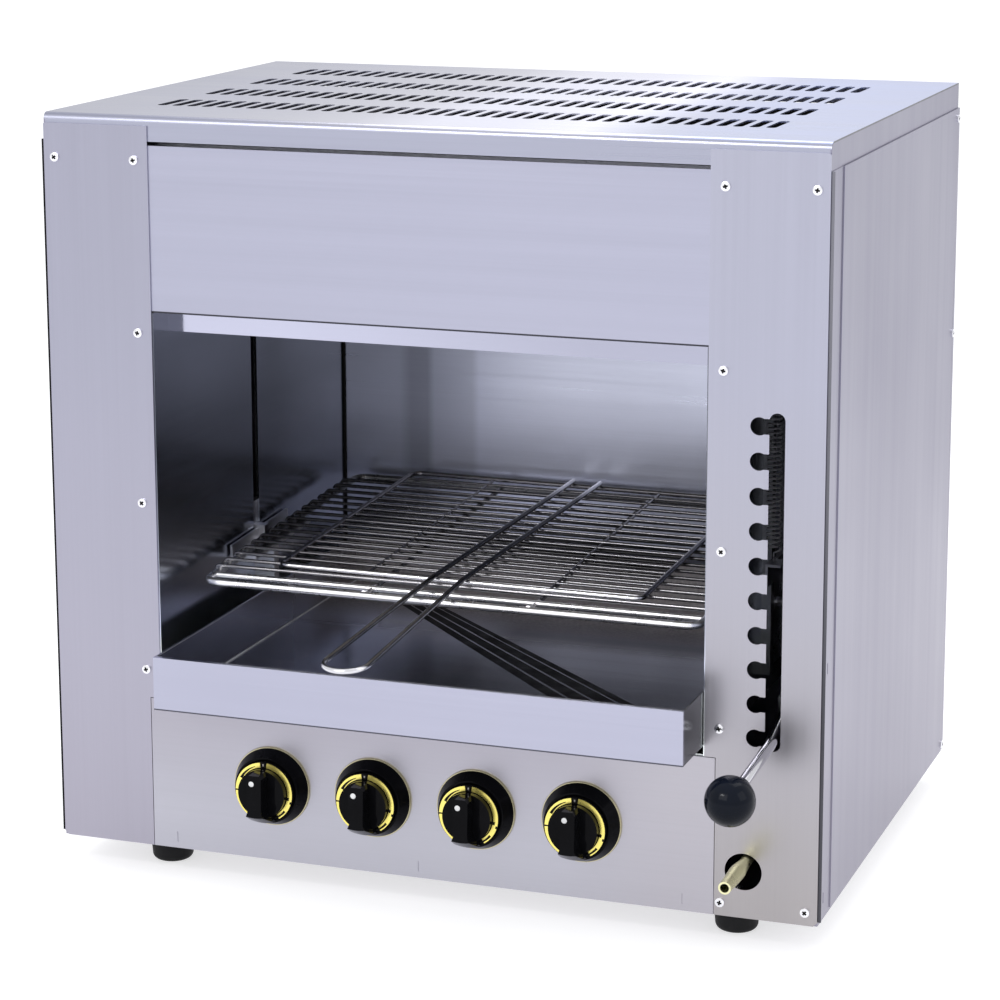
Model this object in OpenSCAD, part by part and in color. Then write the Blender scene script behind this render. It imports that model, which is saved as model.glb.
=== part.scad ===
// Countertop gas cheese melter (salamander grill) with four overhead infrared
// burners, a rack that a notched hand lever raises, and a drip tray below it.
//
// Body frame used by the sub-part modules: X = 0 in the middle of the body,
// Y = 0 at the front face of the pillar covers and + to the back, Z = 0 at
// the underside of the base pan. placed() moves that frame onto the row frame,
// whose origin is below the middle of the whole object, at the soles.

/* [Body] */
// Width of the body over the side walls
body_w = 600; // [570:5:660]
// Depth of the body from the pillar covers to the rear panel
body_d = 430; // [425:5:480]
// Height of the body without its feet
body_h = 563; // [545:1:600]
// Thickness of the cover sheet metal
sheet = 1.2; // [0.8:0.1:1.5]
// Width of each front pillar cover beside the cavity
pillar_w = 85; // [80:1:92]
// Width of the flanges folded on the sheets
flange = 20; // [14:1:24]
// Radius of the front bend of the top cover
top_bend = 5; // [3:0.5:8]
// Height of the top cover's front flange
top_flange_h = 19; // [14:1:26]
// Distance from the raised access panels to the top of the body
access_top_gap = 20; // [18:1:60]
// Thickness of the raised access panels
access_t = 1.5; // [1:0.1:2.5]
// Distance from the pillar face to the raised part of the access panels
access_setback = 34; // [25:1:60]

/* [Top vents] */
// Number of slots in each vent row
vent_count = 40; // [20:1:42]
// Number of vent rows
vent_rows = 4; // [2:1:4]
// Width of one vent slot
vent_w = 7.5; // [4:0.5:7.5]
// Length of one vent slot
vent_l = 45; // [30:1:60]
// Distance between vent slots
vent_pitch = 12.2; // [11:0.1:12.6]
// Distance between vent rows
vent_row_pitch = 85; // [75:1:88]
// Distance from the pillar face to the first vent row's middle
vent_first_y = 94; // [80:1:105]

/* [Hood and burners] */
// Height of the front hood panel
hood_panel_h = 124.5; // [110:0.5:140]
// Gap between the top cover's flange and the hood panel
hood_gap = 3; // [1:0.5:4]
// Setback of the burner box behind the pillar face
box_setback = 27; // [26:1:55]
// How far the burner box reaches below the hood panel
box_drop = 18; // [15:0.5:30]
// Height of the burner box walls
box_wall_h = 47; // [44:1:60]
// Gap between the burner box and the back liner
box_rear_gap = 16; // [8:1:24]
// Gap between the burner housings
burner_gap = 12; // [4:1:24]
// Height of one burner housing
burner_h = 38; // [30:1:42]
// Thickness of the ceramic burner plaques
plaque_t = 13; // [10:1:15]
// Outer diameter of the mixing tubes
mixer_d = 26; // [20:1:30]

/* [Cavity] */
// How far the side liners stand inside the pillar covers' edges
liner_inset = 1; // [0.5:0.1:2]
// Depth of the space behind the back liner
rear_space = 63; // [60:1:70]
// How far the liners reach above the hood panel's lower edge
liner_over = 53.5; // [46:0.5:60]
// Height of the control panel
panel_h = 118; // [110:1:120]
// How far the control panel reaches past the opening on each side
panel_step = 8; // [4:0.5:12]
// Depth of the control panel's top flange
panel_flange = 30; // [24:1:40]

/* [Drip tray] */
// Sideways play of the drip tray between the liners
tray_play = 18; // [6:1:26]
// Gap between the pushed-over tray and the right liner
tray_wall_gap = 0.5; // [0.3:0.1:3]
// Gap between the drip tray and the back liner
tray_rear_gap = 21; // [8:1:60]
// Height of the drip tray
tray_h = 40.5; // [30:0.5:41]
// Thickness of the drip tray's sheet
tray_t = 1.2; // [0.8:0.1:2]
// How far the tray's face stands in front of the pillars
tray_front = 49; // [40:1:60]
// Thickness of the tray's runners
runner_t = 1.2; // [1:0.1:2]
// Width of the ledge of each runner
runner_w = 30; // [24:1:40]
// Height of the runners' ledges above the lower heat shield
runner_rise = 6; // [4:0.5:8]

/* [Rack] */
// Gap between the main rack and the side liners
rack_side_gap = 14; // [12:1:18]
// Gap between the main rack and the back liner
rack_rear_gap = 12; // [8:1:30]
// Distance from the pillar face to the rack's front rail
rack_setback = 45; // [44:1:52]
// Height of the rack's front rail with the lever down
rack_z = 201; // [198:0.5:206]
// Tilt of the rack, higher at the back
rack_tilt = 2.8; // [0:0.1:3.5]
// Diameter of the rack's frame rods
rack_rod_d = 6; // [5:0.5:7]
// Diameter of the rack's cross wires
rack_wire_d = 3; // [2.5:0.1:3.5]
// Distance between the rack's cross wires
rack_wire_pitch = 17; // [11:0.5:20]
// Corner radius of the rack's frame
rack_corner = 12; // [9:1:20]
// Distance from the front rail to the second front rail
rack_second_rail = 18; // [16:1:34]
// Number of lengthways stiffening rods
rack_stiffeners = 2; // [1:1:5]

/* [Hand grill] */
// Width of the hand grill
grill_w = 298; // [260:1:310]
// Depth of the hand grill
grill_d = 276; // [250:1:282]
// Distance from the pillar face to the hand grill's front rod
grill_setback = 76; // [62:1:80]
// Sideways offset of the hand grill
grill_shift = -2; // [-20:1:20]
// Turn of the hand grill on the rack
grill_yaw = -0.9; // [-3:0.1:3]
// Diameter of the hand grill's frame rod
grill_rod_d = 4; // [3.6:0.1:5]
// Diameter of the hand grill's thin wires
grill_wire_d = 2.2; // [1.8:0.1:2.6]
// Distance between the hand grill's thin wires
grill_wire_pitch = 16; // [10:0.5:24]
// Sideways offset of the handle on the hand grill
handle_shift = 9; // [-10:1:12]
// Turn of the handle on the hand grill
handle_skew = -2.7; // [-3:0.1:3]
// Spacing of the two handle wires
handle_gap = 24; // [20:1:32]
// Width of the handle's end loop
handle_loop_w = 33; // [30:1:40]
// Length of the handle in front of the hand grill
handle_l = 192; // [150:1:210]
// Downward bend of the handle in front of the hand grill
handle_dip = 3.4; // [0:0.1:4]

/* [Lift] */
// Distance from the lift shaft to the back of the body
shaft_back = 32; // [28:1:36]
// Diameter of the lift shaft
shaft_d = 12; // [10:0.5:14]
// Radial running clearance of shafts and pins
run_fit = 0.05; // [0.03:0.01:0.08]
// Clearance between sliding and resting pieces
seat_gap = 0.3; // [0.2:0.05:0.4]
// Distance from the side liners to the middle of the lift arms
arm_gap = 20; // [19:0.5:22]
// Thickness of the lift arms
arm_t = 4; // [3:0.5:4]
// Height of the lift arms' bar
arm_h = 26; // [22:1:28]
// Distance from the pillar face to the carriers' liner slots
slot_y = 180.5; // [175:0.5:190]
// Width of the carriers' liner slots
slot_w = 11; // [10:0.5:13]
// Diameter of the carrier pins
pin_d = 8; // [7:0.5:8]
// Clearance of a carrier pin in its arm's slot
pin_clear = 1; // [0.9:0.1:1.5]
// Length of the carriers' rack shelves
shelf_l = 110; // [80:1:140]
// Outer diameter of the counterbalance springs
spring_d = 12; // [10:0.5:13]

/* [Lever] */
// Number of lever notches
notch_count = 10; // [4:1:10]
// Distance between the notches
notch_pitch = 25.2; // [22:0.1:25.4]
// Height of the lowest notch
notch_z = 136; // [132:1:140]
// Height of one notch
notch_h = 13; // [11:0.5:14]
// Distance from the lever slot's middle to the round ends of the notches
notch_reach = 13; // [12:0.1:14]
// Distance from the body's right side to the lever slot's middle
lever_inset = 34.8; // [33:0.1:36]
// Width of the lever slot
lever_slot_w = 11.5; // [11:0.5:13]
// Diameter of the lever rod
lever_d = 8.5; // [8:0.1:9]
// Length of the lever rod in front of the pillar
lever_out = 80; // [60:1:100]
// Sideways bend of the lever rod in front of the pillar
lever_crank = 7; // [0:0.5:9]
// Diameter of the lever's ball
ball_d = 36; // [28:1:40]

/* [Controls] */
// Number of burners, gas valves and knobs
burner_count = 4; // [4:1:4]
// Distance between the knobs
knob_pitch = 82; // [72:1:88]
// Height of the knobs' centres
knob_z = 59; // [52:1:64]
// Diameter of the bezel around a knob
bezel_d = 61.5; // [58:0.5:66]
// How far the bezel stands in front of the control panel
bezel_h = 12.5; // [10:0.5:14]
// Diameter of the knob's skirt with the dial ring
skirt_d = 47; // [44:0.5:49]
// Diameter of the knob's body
knob_d = 37.5; // [34:0.5:39]
// How far the knob's grip stands in front of the panel
knob_out = 35; // [33:0.5:38]
// Travel of a knob when it is pushed
knob_push = 4; // [3:0.5:4]
// Diameter of a valve stem
stem_d = 8; // [6:0.5:9]

/* [Gas] */
// Size of the square gas manifold
manifold_s = 18; // [16:1:22]
// Size of a valve body along X
valve_w = 30; // [26:1:34]
// Diameter of the burner feed pipes
pipe_d = 8; // [6:0.5:8]
// Diameter of the gas hole in the right pillar cover
gas_hole_d = 27.6; // [26:0.2:32]
// Distance from the body's right side to the gas hole's middle
gas_hole_inset = 55; // [52:0.5:58]
// Height of the gas hole
gas_hole_z = 35; // [32:0.5:38]
// Largest diameter of the hose nipple
nipple_d = 11.6; // [10:0.2:13]
// Bore of the hose nipple
nipple_bore = 6.5; // [4:0.5:7]
// How far the hose nipple stands in front of the pillar
nipple_out = 57; // [40:1:65]

/* [Feet] */
// Height of a foot below the body
foot_h = 25; // [18:1:40]
// Diameter of a foot at its top
foot_d = 35; // [28:1:42]
// Diameter of a foot at its sole
foot_sole_d = 22; // [18:1:26]
// Distance from the body's sides to the feet
foot_inset_x = 71; // [40:1:90]
// Distance from the body's front and rear to the feet
foot_inset_y = 44; // [30:1:60]

/* [Screws] */
// Diameter of the panel screws' heads
head_d = 6.8; // [6.4:0.2:9]
// Height of the panel screws' heads
head_h = 2; // [1.5:0.1:2.5]
// Diameter of the panel screws' shanks
shank_d = 4; // [3:0.5:4.5]
// Length of the panel screws' shanks
shank_l = 10; // [6:1:12]

/* [Hidden] */
$fn = 48;
half_w = body_w / 2;
inner_half = half_w - sheet;
opening_half = half_w - pillar_w;
cavity_half = opening_half - liner_inset;
cavity_d = body_d - rear_space;
shaft_y = body_d - shaft_back;
panel_half = opening_half + panel_step;
gap = 0.5;

// Front heights
top_flange_z = body_h - top_flange_h;
hood_top = top_flange_z - hood_gap;
hood_z = hood_top - hood_panel_h;
cover_top = body_h - top_bend - 2.5;
box_z = hood_z - box_drop;
liner_top = hood_z + liner_over;
box_d = cavity_d - box_setback - box_rear_gap;
access_z = 3;
access_h = body_h - access_z - access_top_gap;

// Lower heat shield, runners and tray
shield_z = panel_h;
runner_z = shield_z + sheet + runner_rise;
tray_z = runner_z + seat_gap;
tray_w = 2 * cavity_half - tray_play;
tray_d = cavity_d + tray_front - tray_rear_gap;
tray_shift = tray_play / 2 - tray_wall_gap;

// Rack
rack_w = 2 * (cavity_half - rack_side_gap);
rack_d = cavity_d - rack_setback - rack_rear_gap;

// Lift: the lever rod's centre runs between the lowest and the top notch, and
// the shaft lies half way up, so the arms swing as far up as down
arm_x = cavity_half + arm_gap;
lever_slot_x = half_w - lever_inset;
notch_x = lever_slot_x - notch_reach;
gas_hole_x = half_w - gas_hole_inset;
lever_rise = (notch_count - 1) * notch_pitch;
shaft_z = notch_z + lever_rise / 2;
lift_angle = atan(lever_rise / 2 / shaft_y);
pin_reach = shaft_y - slot_y;
pin_z = shaft_z - pin_reach * tan(lift_angle);
carrier_rise = 2 * pin_reach * tan(lift_angle);
arm_slot_in = pin_reach - pin_clear;
arm_slot_out = pin_reach / cos(lift_angle) + pin_clear;
hub_d = shaft_d + 14;

// Carriers: a plate in a guide channel behind each liner, a tongue through the
// liner's slot and a shelf under the rack's side rod
plate_x = cavity_half + sheet + seat_gap;
plate_t = 5;
plate_half_y = 25;
plate_lo = pin_z - 47;
plate_hi = pin_z + 45;
guide_lip_x = plate_x + plate_t + seat_gap;
guide_t = 1.8;
guide_lo = plate_lo - 4;
guide_hi = plate_hi + carrier_rise + 6;
tongue_w = slot_w - 2;
tongue_z = tray_z + tray_h + 2;
shelf_z = -rack_rod_d / 2 - seat_gap;
tongue_top = rack_z + (slot_y - rack_setback) * tan(rack_tilt) + shelf_z - 1.5;
shelf_t = 3;
shelf_x0 = rack_w / 2 - rack_rod_d - 4;
shelf_x1 = cavity_half - 1.5;
upstand_h = 11;
slot_lo = tongue_z - 6;
slot_hi = hood_z - 11.5;
spring_x = arm_x - 6;
spring_y = slot_y - plate_half_y - spring_d - 5;
spring_lo = pin_z + 40;
spring_hi = liner_top - 12;
bracket_t = 2;

// Lever
lever_dist = shaft_y / cos(lift_angle);
clevis_dist = hub_d / 2 + 14;
clevis_w = 20;
clevis_pin_d = 6;
eye_d = 16;
ear_t = 4;
eye_h = 11.4;
bar_t = 5;
bar_h = 20;
bar_end = lever_dist - 44;
socket_l = 42;
socket_s = 14;

// Rack and hand grill
rack_wire_z = (rack_rod_d + rack_wire_d) / 2 - 0.8;
rack_top = rack_wire_z + rack_wire_d / 2;
grill_z = rack_top + seat_gap + grill_rod_d / 2;
rack_wires = floor((rack_d - rack_second_rail - 2 * rack_corner) / rack_wire_pitch);
handle_start = 6;

// Knobs and gas
burner_w = (2 * (cavity_half - sheet) - (burner_count + 1) * burner_gap) / burner_count;
burner_pitch = burner_w + burner_gap;
knob_x = [for (i = [0 : burner_count - 1]) (i - (burner_count - 1) / 2) * knob_pitch];
burner_x = [for (i = [0 : burner_count - 1]) (i - (burner_count - 1) / 2) * burner_pitch];
neck_d = 14;
valve_y0 = 16;
valve_l = 35;
valve_h = 30;
manifold_y = valve_y0 + valve_l + manifold_s / 2;
skirt_y = bezel_h + 1;
skirt_t = 2.5;
ring_t = 0.8;
body_y = skirt_y + skirt_t + 6;
nipple_x = gas_hole_x + 2;
nipple_z = gas_hole_z + 8;
pipe_low_z = 16;
pipe_col_x = arm_x + 12;
pipe_col_pitch = 13;
pipe_y = [for (i = [0 : burner_count - 1]) 100 + 14 * i];
mixer_z = box_z + box_wall_h + mixer_d / 2 + 2;
mixer_y = 168;
pipe_bend = 10;
pipe_top_z = max(liner_top + 12, mixer_z + 2 * pipe_bend + 1);

// The hand grill's handle is the frontmost point, and the rear screw heads
// are the rearmost, so the origin lies half way between them
handle_end_r = (handle_loop_w + grill_rod_d) / 2;
handle_run = handle_l - handle_loop_w / 2;
handle_turn = grill_yaw + handle_skew;
handle_reach = (grill_d + handle_start + handle_run * cos(handle_dip)) * cos(handle_turn)
    - grill_d * cos(grill_yaw) - handle_shift * sin(grill_yaw)
    + handle_end_r * sqrt(pow(cos(handle_dip) * cos(handle_turn), 2) + pow(sin(handle_turn), 2));
handle_drop = handle_l * sin(handle_dip) - grill_rod_d - grill_z;
front_reach = handle_reach * cos(rack_tilt) - handle_drop * sin(rack_tilt) - grill_setback;
origin_y = (body_d + head_h - front_reach) / 2;

// ---------------------------------------------------------------- helpers

module placed() { translate([0, -origin_y, foot_h]) children(); }

module block(lo, hi) { translate(lo) cube(hi - lo); }

module mirrored(side) { if (side < 0) mirror([1, 0, 0]) children(); else children(); }

// A flat shape drawn in X and Z, made t thick along Y from y
module upright(y, t) { translate([0, y + t, 0]) rotate([90, 0, 0]) linear_extrude(t) children(); }

module rod_x(x0, x1, y, z, d) { translate([x0, y, z]) rotate([0, 90, 0]) cylinder(h = x1 - x0, d = d); }

module rod_y(x, y0, y1, z, d) { translate([x, y1, z]) rotate([90, 0, 0]) cylinder(h = y1 - y0, d = d); }

module rod_z(x, y, z0, z1, d) { translate([x, y, z0]) cylinder(h = z1 - z0, d = d); }

function unit(v) = v / norm(v);
function frame_of(x, y, p) = let (z = cross(x, y))
    [[x[0], y[0], z[0], p[0]], [x[1], y[1], z[1], p[1]], [x[2], y[2], z[2], p[2]], [0, 0, 0, 1]];

// A straight round rod from a to b
module rod(a, b, d) {
    v = b - a;
    translate(a) rotate([0, acos(v[2] / norm(v)), atan2(v[1], v[0])]) cylinder(h = norm(v), d = d);
}

// A round rod along points, with bends of radius r between its straight runs,
// which reach a hair into the bends
module bent_rod(points, d, r) {
    n = len(points);
    dirs = [for (i = [0 : n - 2]) unit(points[i + 1] - points[i])];
    turn = [for (i = [1 : n - 2]) acos(dirs[i - 1] * dirs[i])];
    cut = [for (i = [0 : n - 1]) (i == 0 || i == n - 1) ? 0 : r * tan(turn[i - 1] / 2) - 0.1];
    for (i = [0 : n - 2])
        rod(points[i] + dirs[i] * cut[i], points[i + 1] - dirs[i] * cut[i + 1], d);
    for (i = [1 : n - 2]) {
        inward = unit(dirs[i] - dirs[i - 1] * cos(turn[i - 1]));
        centre = points[i] - dirs[i - 1] * (cut[i] + 0.1) + inward * r;
        multmatrix(frame_of(-inward, dirs[i - 1], centre))
            rotate_extrude(angle = turn[i - 1]) translate([r, 0]) circle(d = d - 0.04);
    }
}

// A closed rectangular frame of round rod in the XY plane, with round corners
module rod_frame(x0, x1, y0, y1, z, d, r) {
    for (y = [y0, y1]) rod_x(x0 + r, x1 - r, y, z, d);
    for (x = [x0, x1]) rod_y(x, y0 + r, y1 - r, z, d);
    for (c = [[x1 - r, y1 - r, 0], [x0 + r, y1 - r, 90], [x0 + r, y0 + r, 180], [x1 - r, y0 + r, 270]])
        translate([c[0], c[1], z]) rotate([0, 0, c[2]])
            rotate_extrude(angle = 90) translate([r, 0]) circle(d = d);
}

// ------------------------------------------------------- casing and covers

foot_points = [for (x = [-1, 1], y = [foot_inset_y, body_d - foot_inset_y]) [x * (half_w - foot_inset_x), y]];

module base_pan() {
    color("lightslategray") difference() {
        union() {
            block([-inner_half, sheet * 2, 0], [inner_half, body_d - sheet, sheet]);
            for (x = [-inner_half, inner_half - sheet])
                block([x, sheet * 2, 0], [x + sheet, body_d - sheet, flange]);
            block([-inner_half, body_d - 2 * sheet, 0], [inner_half, body_d - sheet, flange]);
            block([-half_w + flange + 5, sheet, 0], [half_w - flange - 5, 2 * sheet, flange]);
            block([panel_half + gap, sheet, 0], [panel_half + 9, 2 * sheet, right_low_screw[1] + 7]);
        }
        for (p = foot_points) rod_z(p[0], p[1], -1, sheet + 1, stud_d + 0.6);
        rod_y(right_low_screw[0], 0, 9, right_low_screw[1], shank_d + 2 * run_fit);
        for (x = [-1, 1]) mirrored(x)
            rod_x(inner_half - 9, half_w, access_screw_y, access_screw_z[0], shank_d + 2 * run_fit);
    }
}

stud_d = 6;
stud_depth = 15;
nut_h = 5;

module rubber_feet() {
    shoulder = 5;
    color("dimgray") for (p = foot_points) translate([p[0], p[1], -foot_h]) difference() {
        rotate_extrude() {
            square([foot_sole_d / 2, foot_h]);
            polygon([[0, foot_h], [foot_d / 2, foot_h], [foot_d / 2, foot_h - 3],
                [foot_sole_d / 2 + shoulder, shoulder], [0, shoulder]]);
            translate([foot_sole_d / 2, shoulder]) intersection() {
                circle(r = shoulder);
                translate([0, -shoulder]) square(shoulder);
            }
        }
        translate([0, 0, foot_h - stud_depth]) cylinder(h = stud_depth + 1, d = stud_d);
    }
}

module foot_studs() {
    color("silver") for (p = foot_points) {
        rod_z(p[0], p[1], -stud_depth, sheet + nut_h + 2, stud_d);
        translate([p[0], p[1], sheet]) cylinder(h = nut_h, d = 11.5, $fn = 6);
    }
}

side_nicks = [17, 188];
nick_y = 14;
nick_w = 1.8;

module side_wall(side) {
    rear = body_d - sheet;
    color("lightgray") mirrored(side) difference() {
        union() {
            block([inner_half, sheet, 0], [half_w, rear, body_h - sheet]);
            block([inner_half - flange, sheet, 0], [half_w, 2 * sheet, top_flange_z - gap]);
            block([inner_half - flange, rear - sheet, flange + gap], [half_w, rear, body_h - sheet]);
            block([inner_half - flange, 2 * sheet + top_bend, body_h - 2 * sheet], [half_w, rear, body_h - sheet]);
        }
        difference() {
            block([inner_half - 1, 0, body_h - top_bend], [half_w + 1, sheet + top_bend, body_h]);
            rod_x(inner_half - 2, half_w + 2, sheet + top_bend, body_h - top_bend, 2 * (top_bend - sheet));
        }
        for (z = side_nicks) block([half_w - 0.5, nick_y, z - 4], [half_w + 1, nick_y + nick_w, z + 4]);
        for (s = side > 0 ? pillar_outer_screws : left_outer_screws) rod_y(s[0], 0, 9, s[1], shank_d + 2 * run_fit);
        for (z = access_screw_z) rod_x(inner_half - 1, half_w + 1, access_screw_y, z, shank_d + 2 * run_fit);
        for (z = rear_screw_z) rod_y(rear_screw_x, rear - 5, rear + 1, z, shank_d + 2 * run_fit);
    }
}

access_screw_y = body_d - 9;
access_screw_z = [access_z + 6, access_z + access_h * 0.66, access_z + access_h - 8];

// Raised panels with a thin front margin and a folded front edge
access_margin_t = access_t * 0.4;
access_edge = access_t + 1;

module access_panels() {
    z1 = access_z + access_h;
    y0 = sheet + 0.2;
    color("gainsboro") for (side = [-1, 1]) mirrored(side) difference() {
        union() {
            block([half_w, access_setback, access_z], [half_w + access_t, body_d, z1]);
            block([half_w, y0, access_z], [half_w + access_margin_t, access_setback + 1, z1]);
            block([half_w, y0, access_z], [half_w + access_edge, y0 + 1.6, z1]);
        }
        for (z = side_nicks) block([half_w - 1, nick_y, z - 4], [half_w + access_t, nick_y + nick_w, z + 4]);
        for (z = access_screw_z) rod_x(half_w - 1, half_w + access_t + 1, access_screw_y, z, shank_d + 2 * run_fit);
    }
}

rear_screw_x = half_w - 12;
rear_screw_z = [40, body_h * 0.5, body_h - flange - 22];
rear_vent_n = 12;
rear_vent_pitch = 22;

module rear_panel() {
    color("lightgray") difference() {
        block([-half_w, body_d - sheet, 0], [half_w, body_d, body_h - flange - gap]);
        for (x = [-1, 1], z = rear_screw_z)
            rod_y(x * rear_screw_x, body_d - 5, body_d + 1, z, shank_d + 2 * run_fit);
        for (i = [0 : rear_vent_n - 1], z = [56, 92])
            block([(i - (rear_vent_n - 1) / 2) * rear_vent_pitch - 3, body_d - 5, z],
                [(i - (rear_vent_n - 1) / 2) * rear_vent_pitch + 3, body_d + 1, z + 26]);
    }
}

module vent_slot() {
    block([-vent_w / 2, -(vent_l - vent_w) / 2, -5], [vent_w / 2, (vent_l - vent_w) / 2, 5]);
    for (y = [-1, 1]) translate([0, y * (vent_l - vent_w) / 2, -5]) cylinder(h = 10, d = vent_w);
}

module top_cover() {
    color("whitesmoke") difference() {
        union() {
            block([-half_w, sheet + top_bend, body_h - sheet], [half_w, body_d, body_h]);
            block([-inner_half, sheet, top_flange_z], [inner_half, 2 * sheet, body_h - top_bend]);
            block([-half_w, body_d - sheet, body_h - flange], [half_w, body_d, body_h]);
            translate([-half_w, sheet + top_bend, body_h - top_bend]) rotate([0, 90, 0])
                rotate([0, 0, 180]) rotate_extrude_shell(body_w);
        }
        for (r = [0 : vent_rows - 1], i = [0 : vent_count - 1])
            translate([(i - (vent_count - 1) / 2) * vent_pitch, vent_first_y + r * vent_row_pitch, body_h])
                vent_slot();
    }
}

// The quarter-round front bend of the top cover, h long, drawn along Z
module rotate_extrude_shell(h) {
    linear_extrude(h) intersection() {
        difference() {
            circle(r = top_bend);
            circle(r = top_bend - sheet);
        }
        square(top_bend);
    }
}

pillar_inner_x = opening_half + 11;
pillar_outer_x = half_w - 9;
pillar_top_z = hood_top - 11;
pillar_low_z = panel_h + 22.5;
pillar_high_z = hood_z - 15.8;
pillar_inner_z = [pillar_low_z, (pillar_low_z + pillar_high_z) / 2, pillar_high_z];
low_screw_z = 10;
pillar_outer_screws = [for (z = [low_screw_z, pillar_top_z]) [pillar_outer_x, z]];
left_outer_screws = [pillar_outer_screws[1]];
pillar_inner_screws = [for (z = concat(pillar_inner_z, [pillar_top_z])) [pillar_inner_x, z]];
right_low_screw = [panel_half + 5, low_screw_z];

module pillar_outline() {
    polygon([[panel_half + gap, 0], [half_w - 3, 0], [half_w, 3], [half_w, cover_top - 1],
        [half_w - 1, cover_top], [opening_half, cover_top], [opening_half, panel_h + gap],
        [panel_half + gap, panel_h + gap]]);
}

module screw_holes(points) {
    for (s = points) translate(s) circle(d = shank_d + 2 * run_fit);
}

module left_pillar_cover() {
    color("gainsboro") mirror([1, 0, 0]) upright(0, sheet) difference() {
        pillar_outline();
        screw_holes(concat(left_outer_screws, pillar_inner_screws));
    }
}

module lever_cutout() {
    reach = lever_rise + lever_slot_w / 2 + 1.5;
    translate([lever_slot_x - lever_slot_w / 2, notch_z - 3]) square([lever_slot_w, reach]);
    translate([lever_slot_x, notch_z - 3]) circle(d = lever_slot_w);
    translate([lever_slot_x, notch_z - 3 + reach]) circle(d = lever_slot_w);
    for (i = [0 : notch_count - 1]) translate([notch_x, notch_z + i * notch_pitch]) {
        circle(d = notch_h);
        translate([0, -notch_h * 0.43]) square([lever_slot_x - notch_x, notch_h * 0.86]);
    }
}

module right_pillar_cover() {
    color("gainsboro") upright(0, sheet) difference() {
        pillar_outline();
        screw_holes(concat(pillar_outer_screws, pillar_inner_screws, [right_low_screw]));
        lever_cutout();
        translate([gas_hole_x, gas_hole_z]) circle(d = gas_hole_d);
    }
}

module hood_front_panel() {
    color("gainsboro") difference() {
        union() {
            block([-opening_half - 18, sheet, hood_z], [opening_half + 18, 2 * sheet, hood_top]);
            for (z = [hood_z, hood_top - sheet])
                block([-cavity_half + gap, 2 * sheet, z], [cavity_half - gap, flange, z + sheet]);
        }
        for (x = [-1, 1]) rod_y(x * pillar_inner_x, 0, 9, pillar_top_z, shank_d + 2 * run_fit);
    }
}

panel_nick_x = [-203, -5, 200];

module control_panel() {
    color("gainsboro") difference() {
        union() {
            block([-panel_half, 0, 0], [panel_half, sheet, panel_h]);
            block([-panel_half, 0, panel_h - sheet], [panel_half, panel_flange, panel_h]);
            for (x = [-panel_half, panel_half - sheet])
                block([x, 0, flange + gap], [x + sheet, 12, panel_h]);
        }
        for (x = knob_x) rod_y(x, -1, 9, knob_z, neck_d + 2 * run_fit);
        for (x = panel_nick_x) block([x - 0.6, -0.1, 5], [x + 0.6, 0.5, 13]);
    }
}

module pan_screw(turn = 0) {
    recess_w = 1.4;
    recess_l = 3.6;
    difference() {
        union() {
            rotate_extrude() intersection() {
                translate([0, -head_d]) circle(r = head_d + head_h, $fn = 96);
                square([head_d / 2, head_h]);
            }
            translate([0, 0, -shank_l]) cylinder(h = shank_l, d = shank_d);
        }
        for (a = [0, 90]) rotate([0, 0, a + turn])
            translate([-recess_l / 2, -recess_w / 2, head_h - 1.2]) cube([recess_l, recess_w, 5]);
    }
}

module panel_screws() {
    right = concat(pillar_outer_screws, pillar_inner_screws, [right_low_screw]);
    left = [for (s = concat(left_outer_screws, pillar_inner_screws)) [-s[0], s[1]]];
    color("white") {
        for (s = concat(right, left)) translate([s[0], 0, s[1]]) rotate([90, 0, 0]) pan_screw(s[1] * 3 + s[0]);
        for (x = [-1, 1], z = access_screw_z)
            mirrored(x) translate([half_w + access_t, access_screw_y, z]) rotate([0, 90, 0]) pan_screw();
        for (x = [-1, 1], z = rear_screw_z)
            translate([x * rear_screw_x, body_d, z]) rotate([-90, 0, 0]) pan_screw();
    }
}

// ----------------------------------------------------------------- cavity

module liner(side) {
    color("slategray") mirrored(side) difference() {
        union() {
            block([cavity_half, sheet, shield_z], [cavity_half + sheet, cavity_d, liner_top]);
            block([cavity_half, sheet, panel_h + gap], [pillar_inner_x + 12, 2 * sheet, hood_z - gap]);
        }
        block([cavity_half - 1, slot_y - slot_w / 2, slot_lo], [cavity_half + 5, slot_y + slot_w / 2, slot_hi]);
        for (z = pillar_inner_z) rod_y(pillar_inner_x, 0, 9, z, shank_d + 2 * run_fit);
        block([cavity_half - 1, 0, hood_z - gap], [cavity_half + 5, 2 * sheet + gap, liner_top + 1]);
    }
}

module back_liner() {
    color("silver") block([-cavity_half - 10, cavity_d, sheet], [cavity_half + 10, cavity_d + sheet, liner_top]);
}

module heat_shield() {
    color("darkgray") block([-cavity_half, 2 * sheet, shield_z], [cavity_half, cavity_d, shield_z + sheet]);
}

module tray_runners() {
    z0 = shield_z + sheet;
    color("silver") for (side = [-1, 1]) mirrored(side) {
        block([cavity_half - runner_w, 6, runner_z - runner_t], [cavity_half, cavity_d - 6, runner_z]);
        block([cavity_half - runner_t, 6, z0], [cavity_half, cavity_d - 6, runner_z]);
    }
}

// ---------------------------------------------------------------- burners

box_lip = 6;
burner_l = box_d - box_lip;
burner_y = box_setback + box_d / 2;
housing_z = box_z + sheet;

module burner_box() {
    y0 = box_setback;
    y1 = box_setback + box_d;
    color("silver") difference() {
        block([-cavity_half, y0, box_z], [cavity_half, y1, box_z + box_wall_h]);
        block([-cavity_half + sheet, y0 + sheet, box_z + sheet], [cavity_half - sheet, y1 - sheet, box_z + box_wall_h + 1]);
        block([-cavity_half + box_lip, y0 + box_lip, box_z - 1], [cavity_half - box_lip, y1 - box_lip, box_z + 5]);
    }
}

housing_t = 2;

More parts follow.
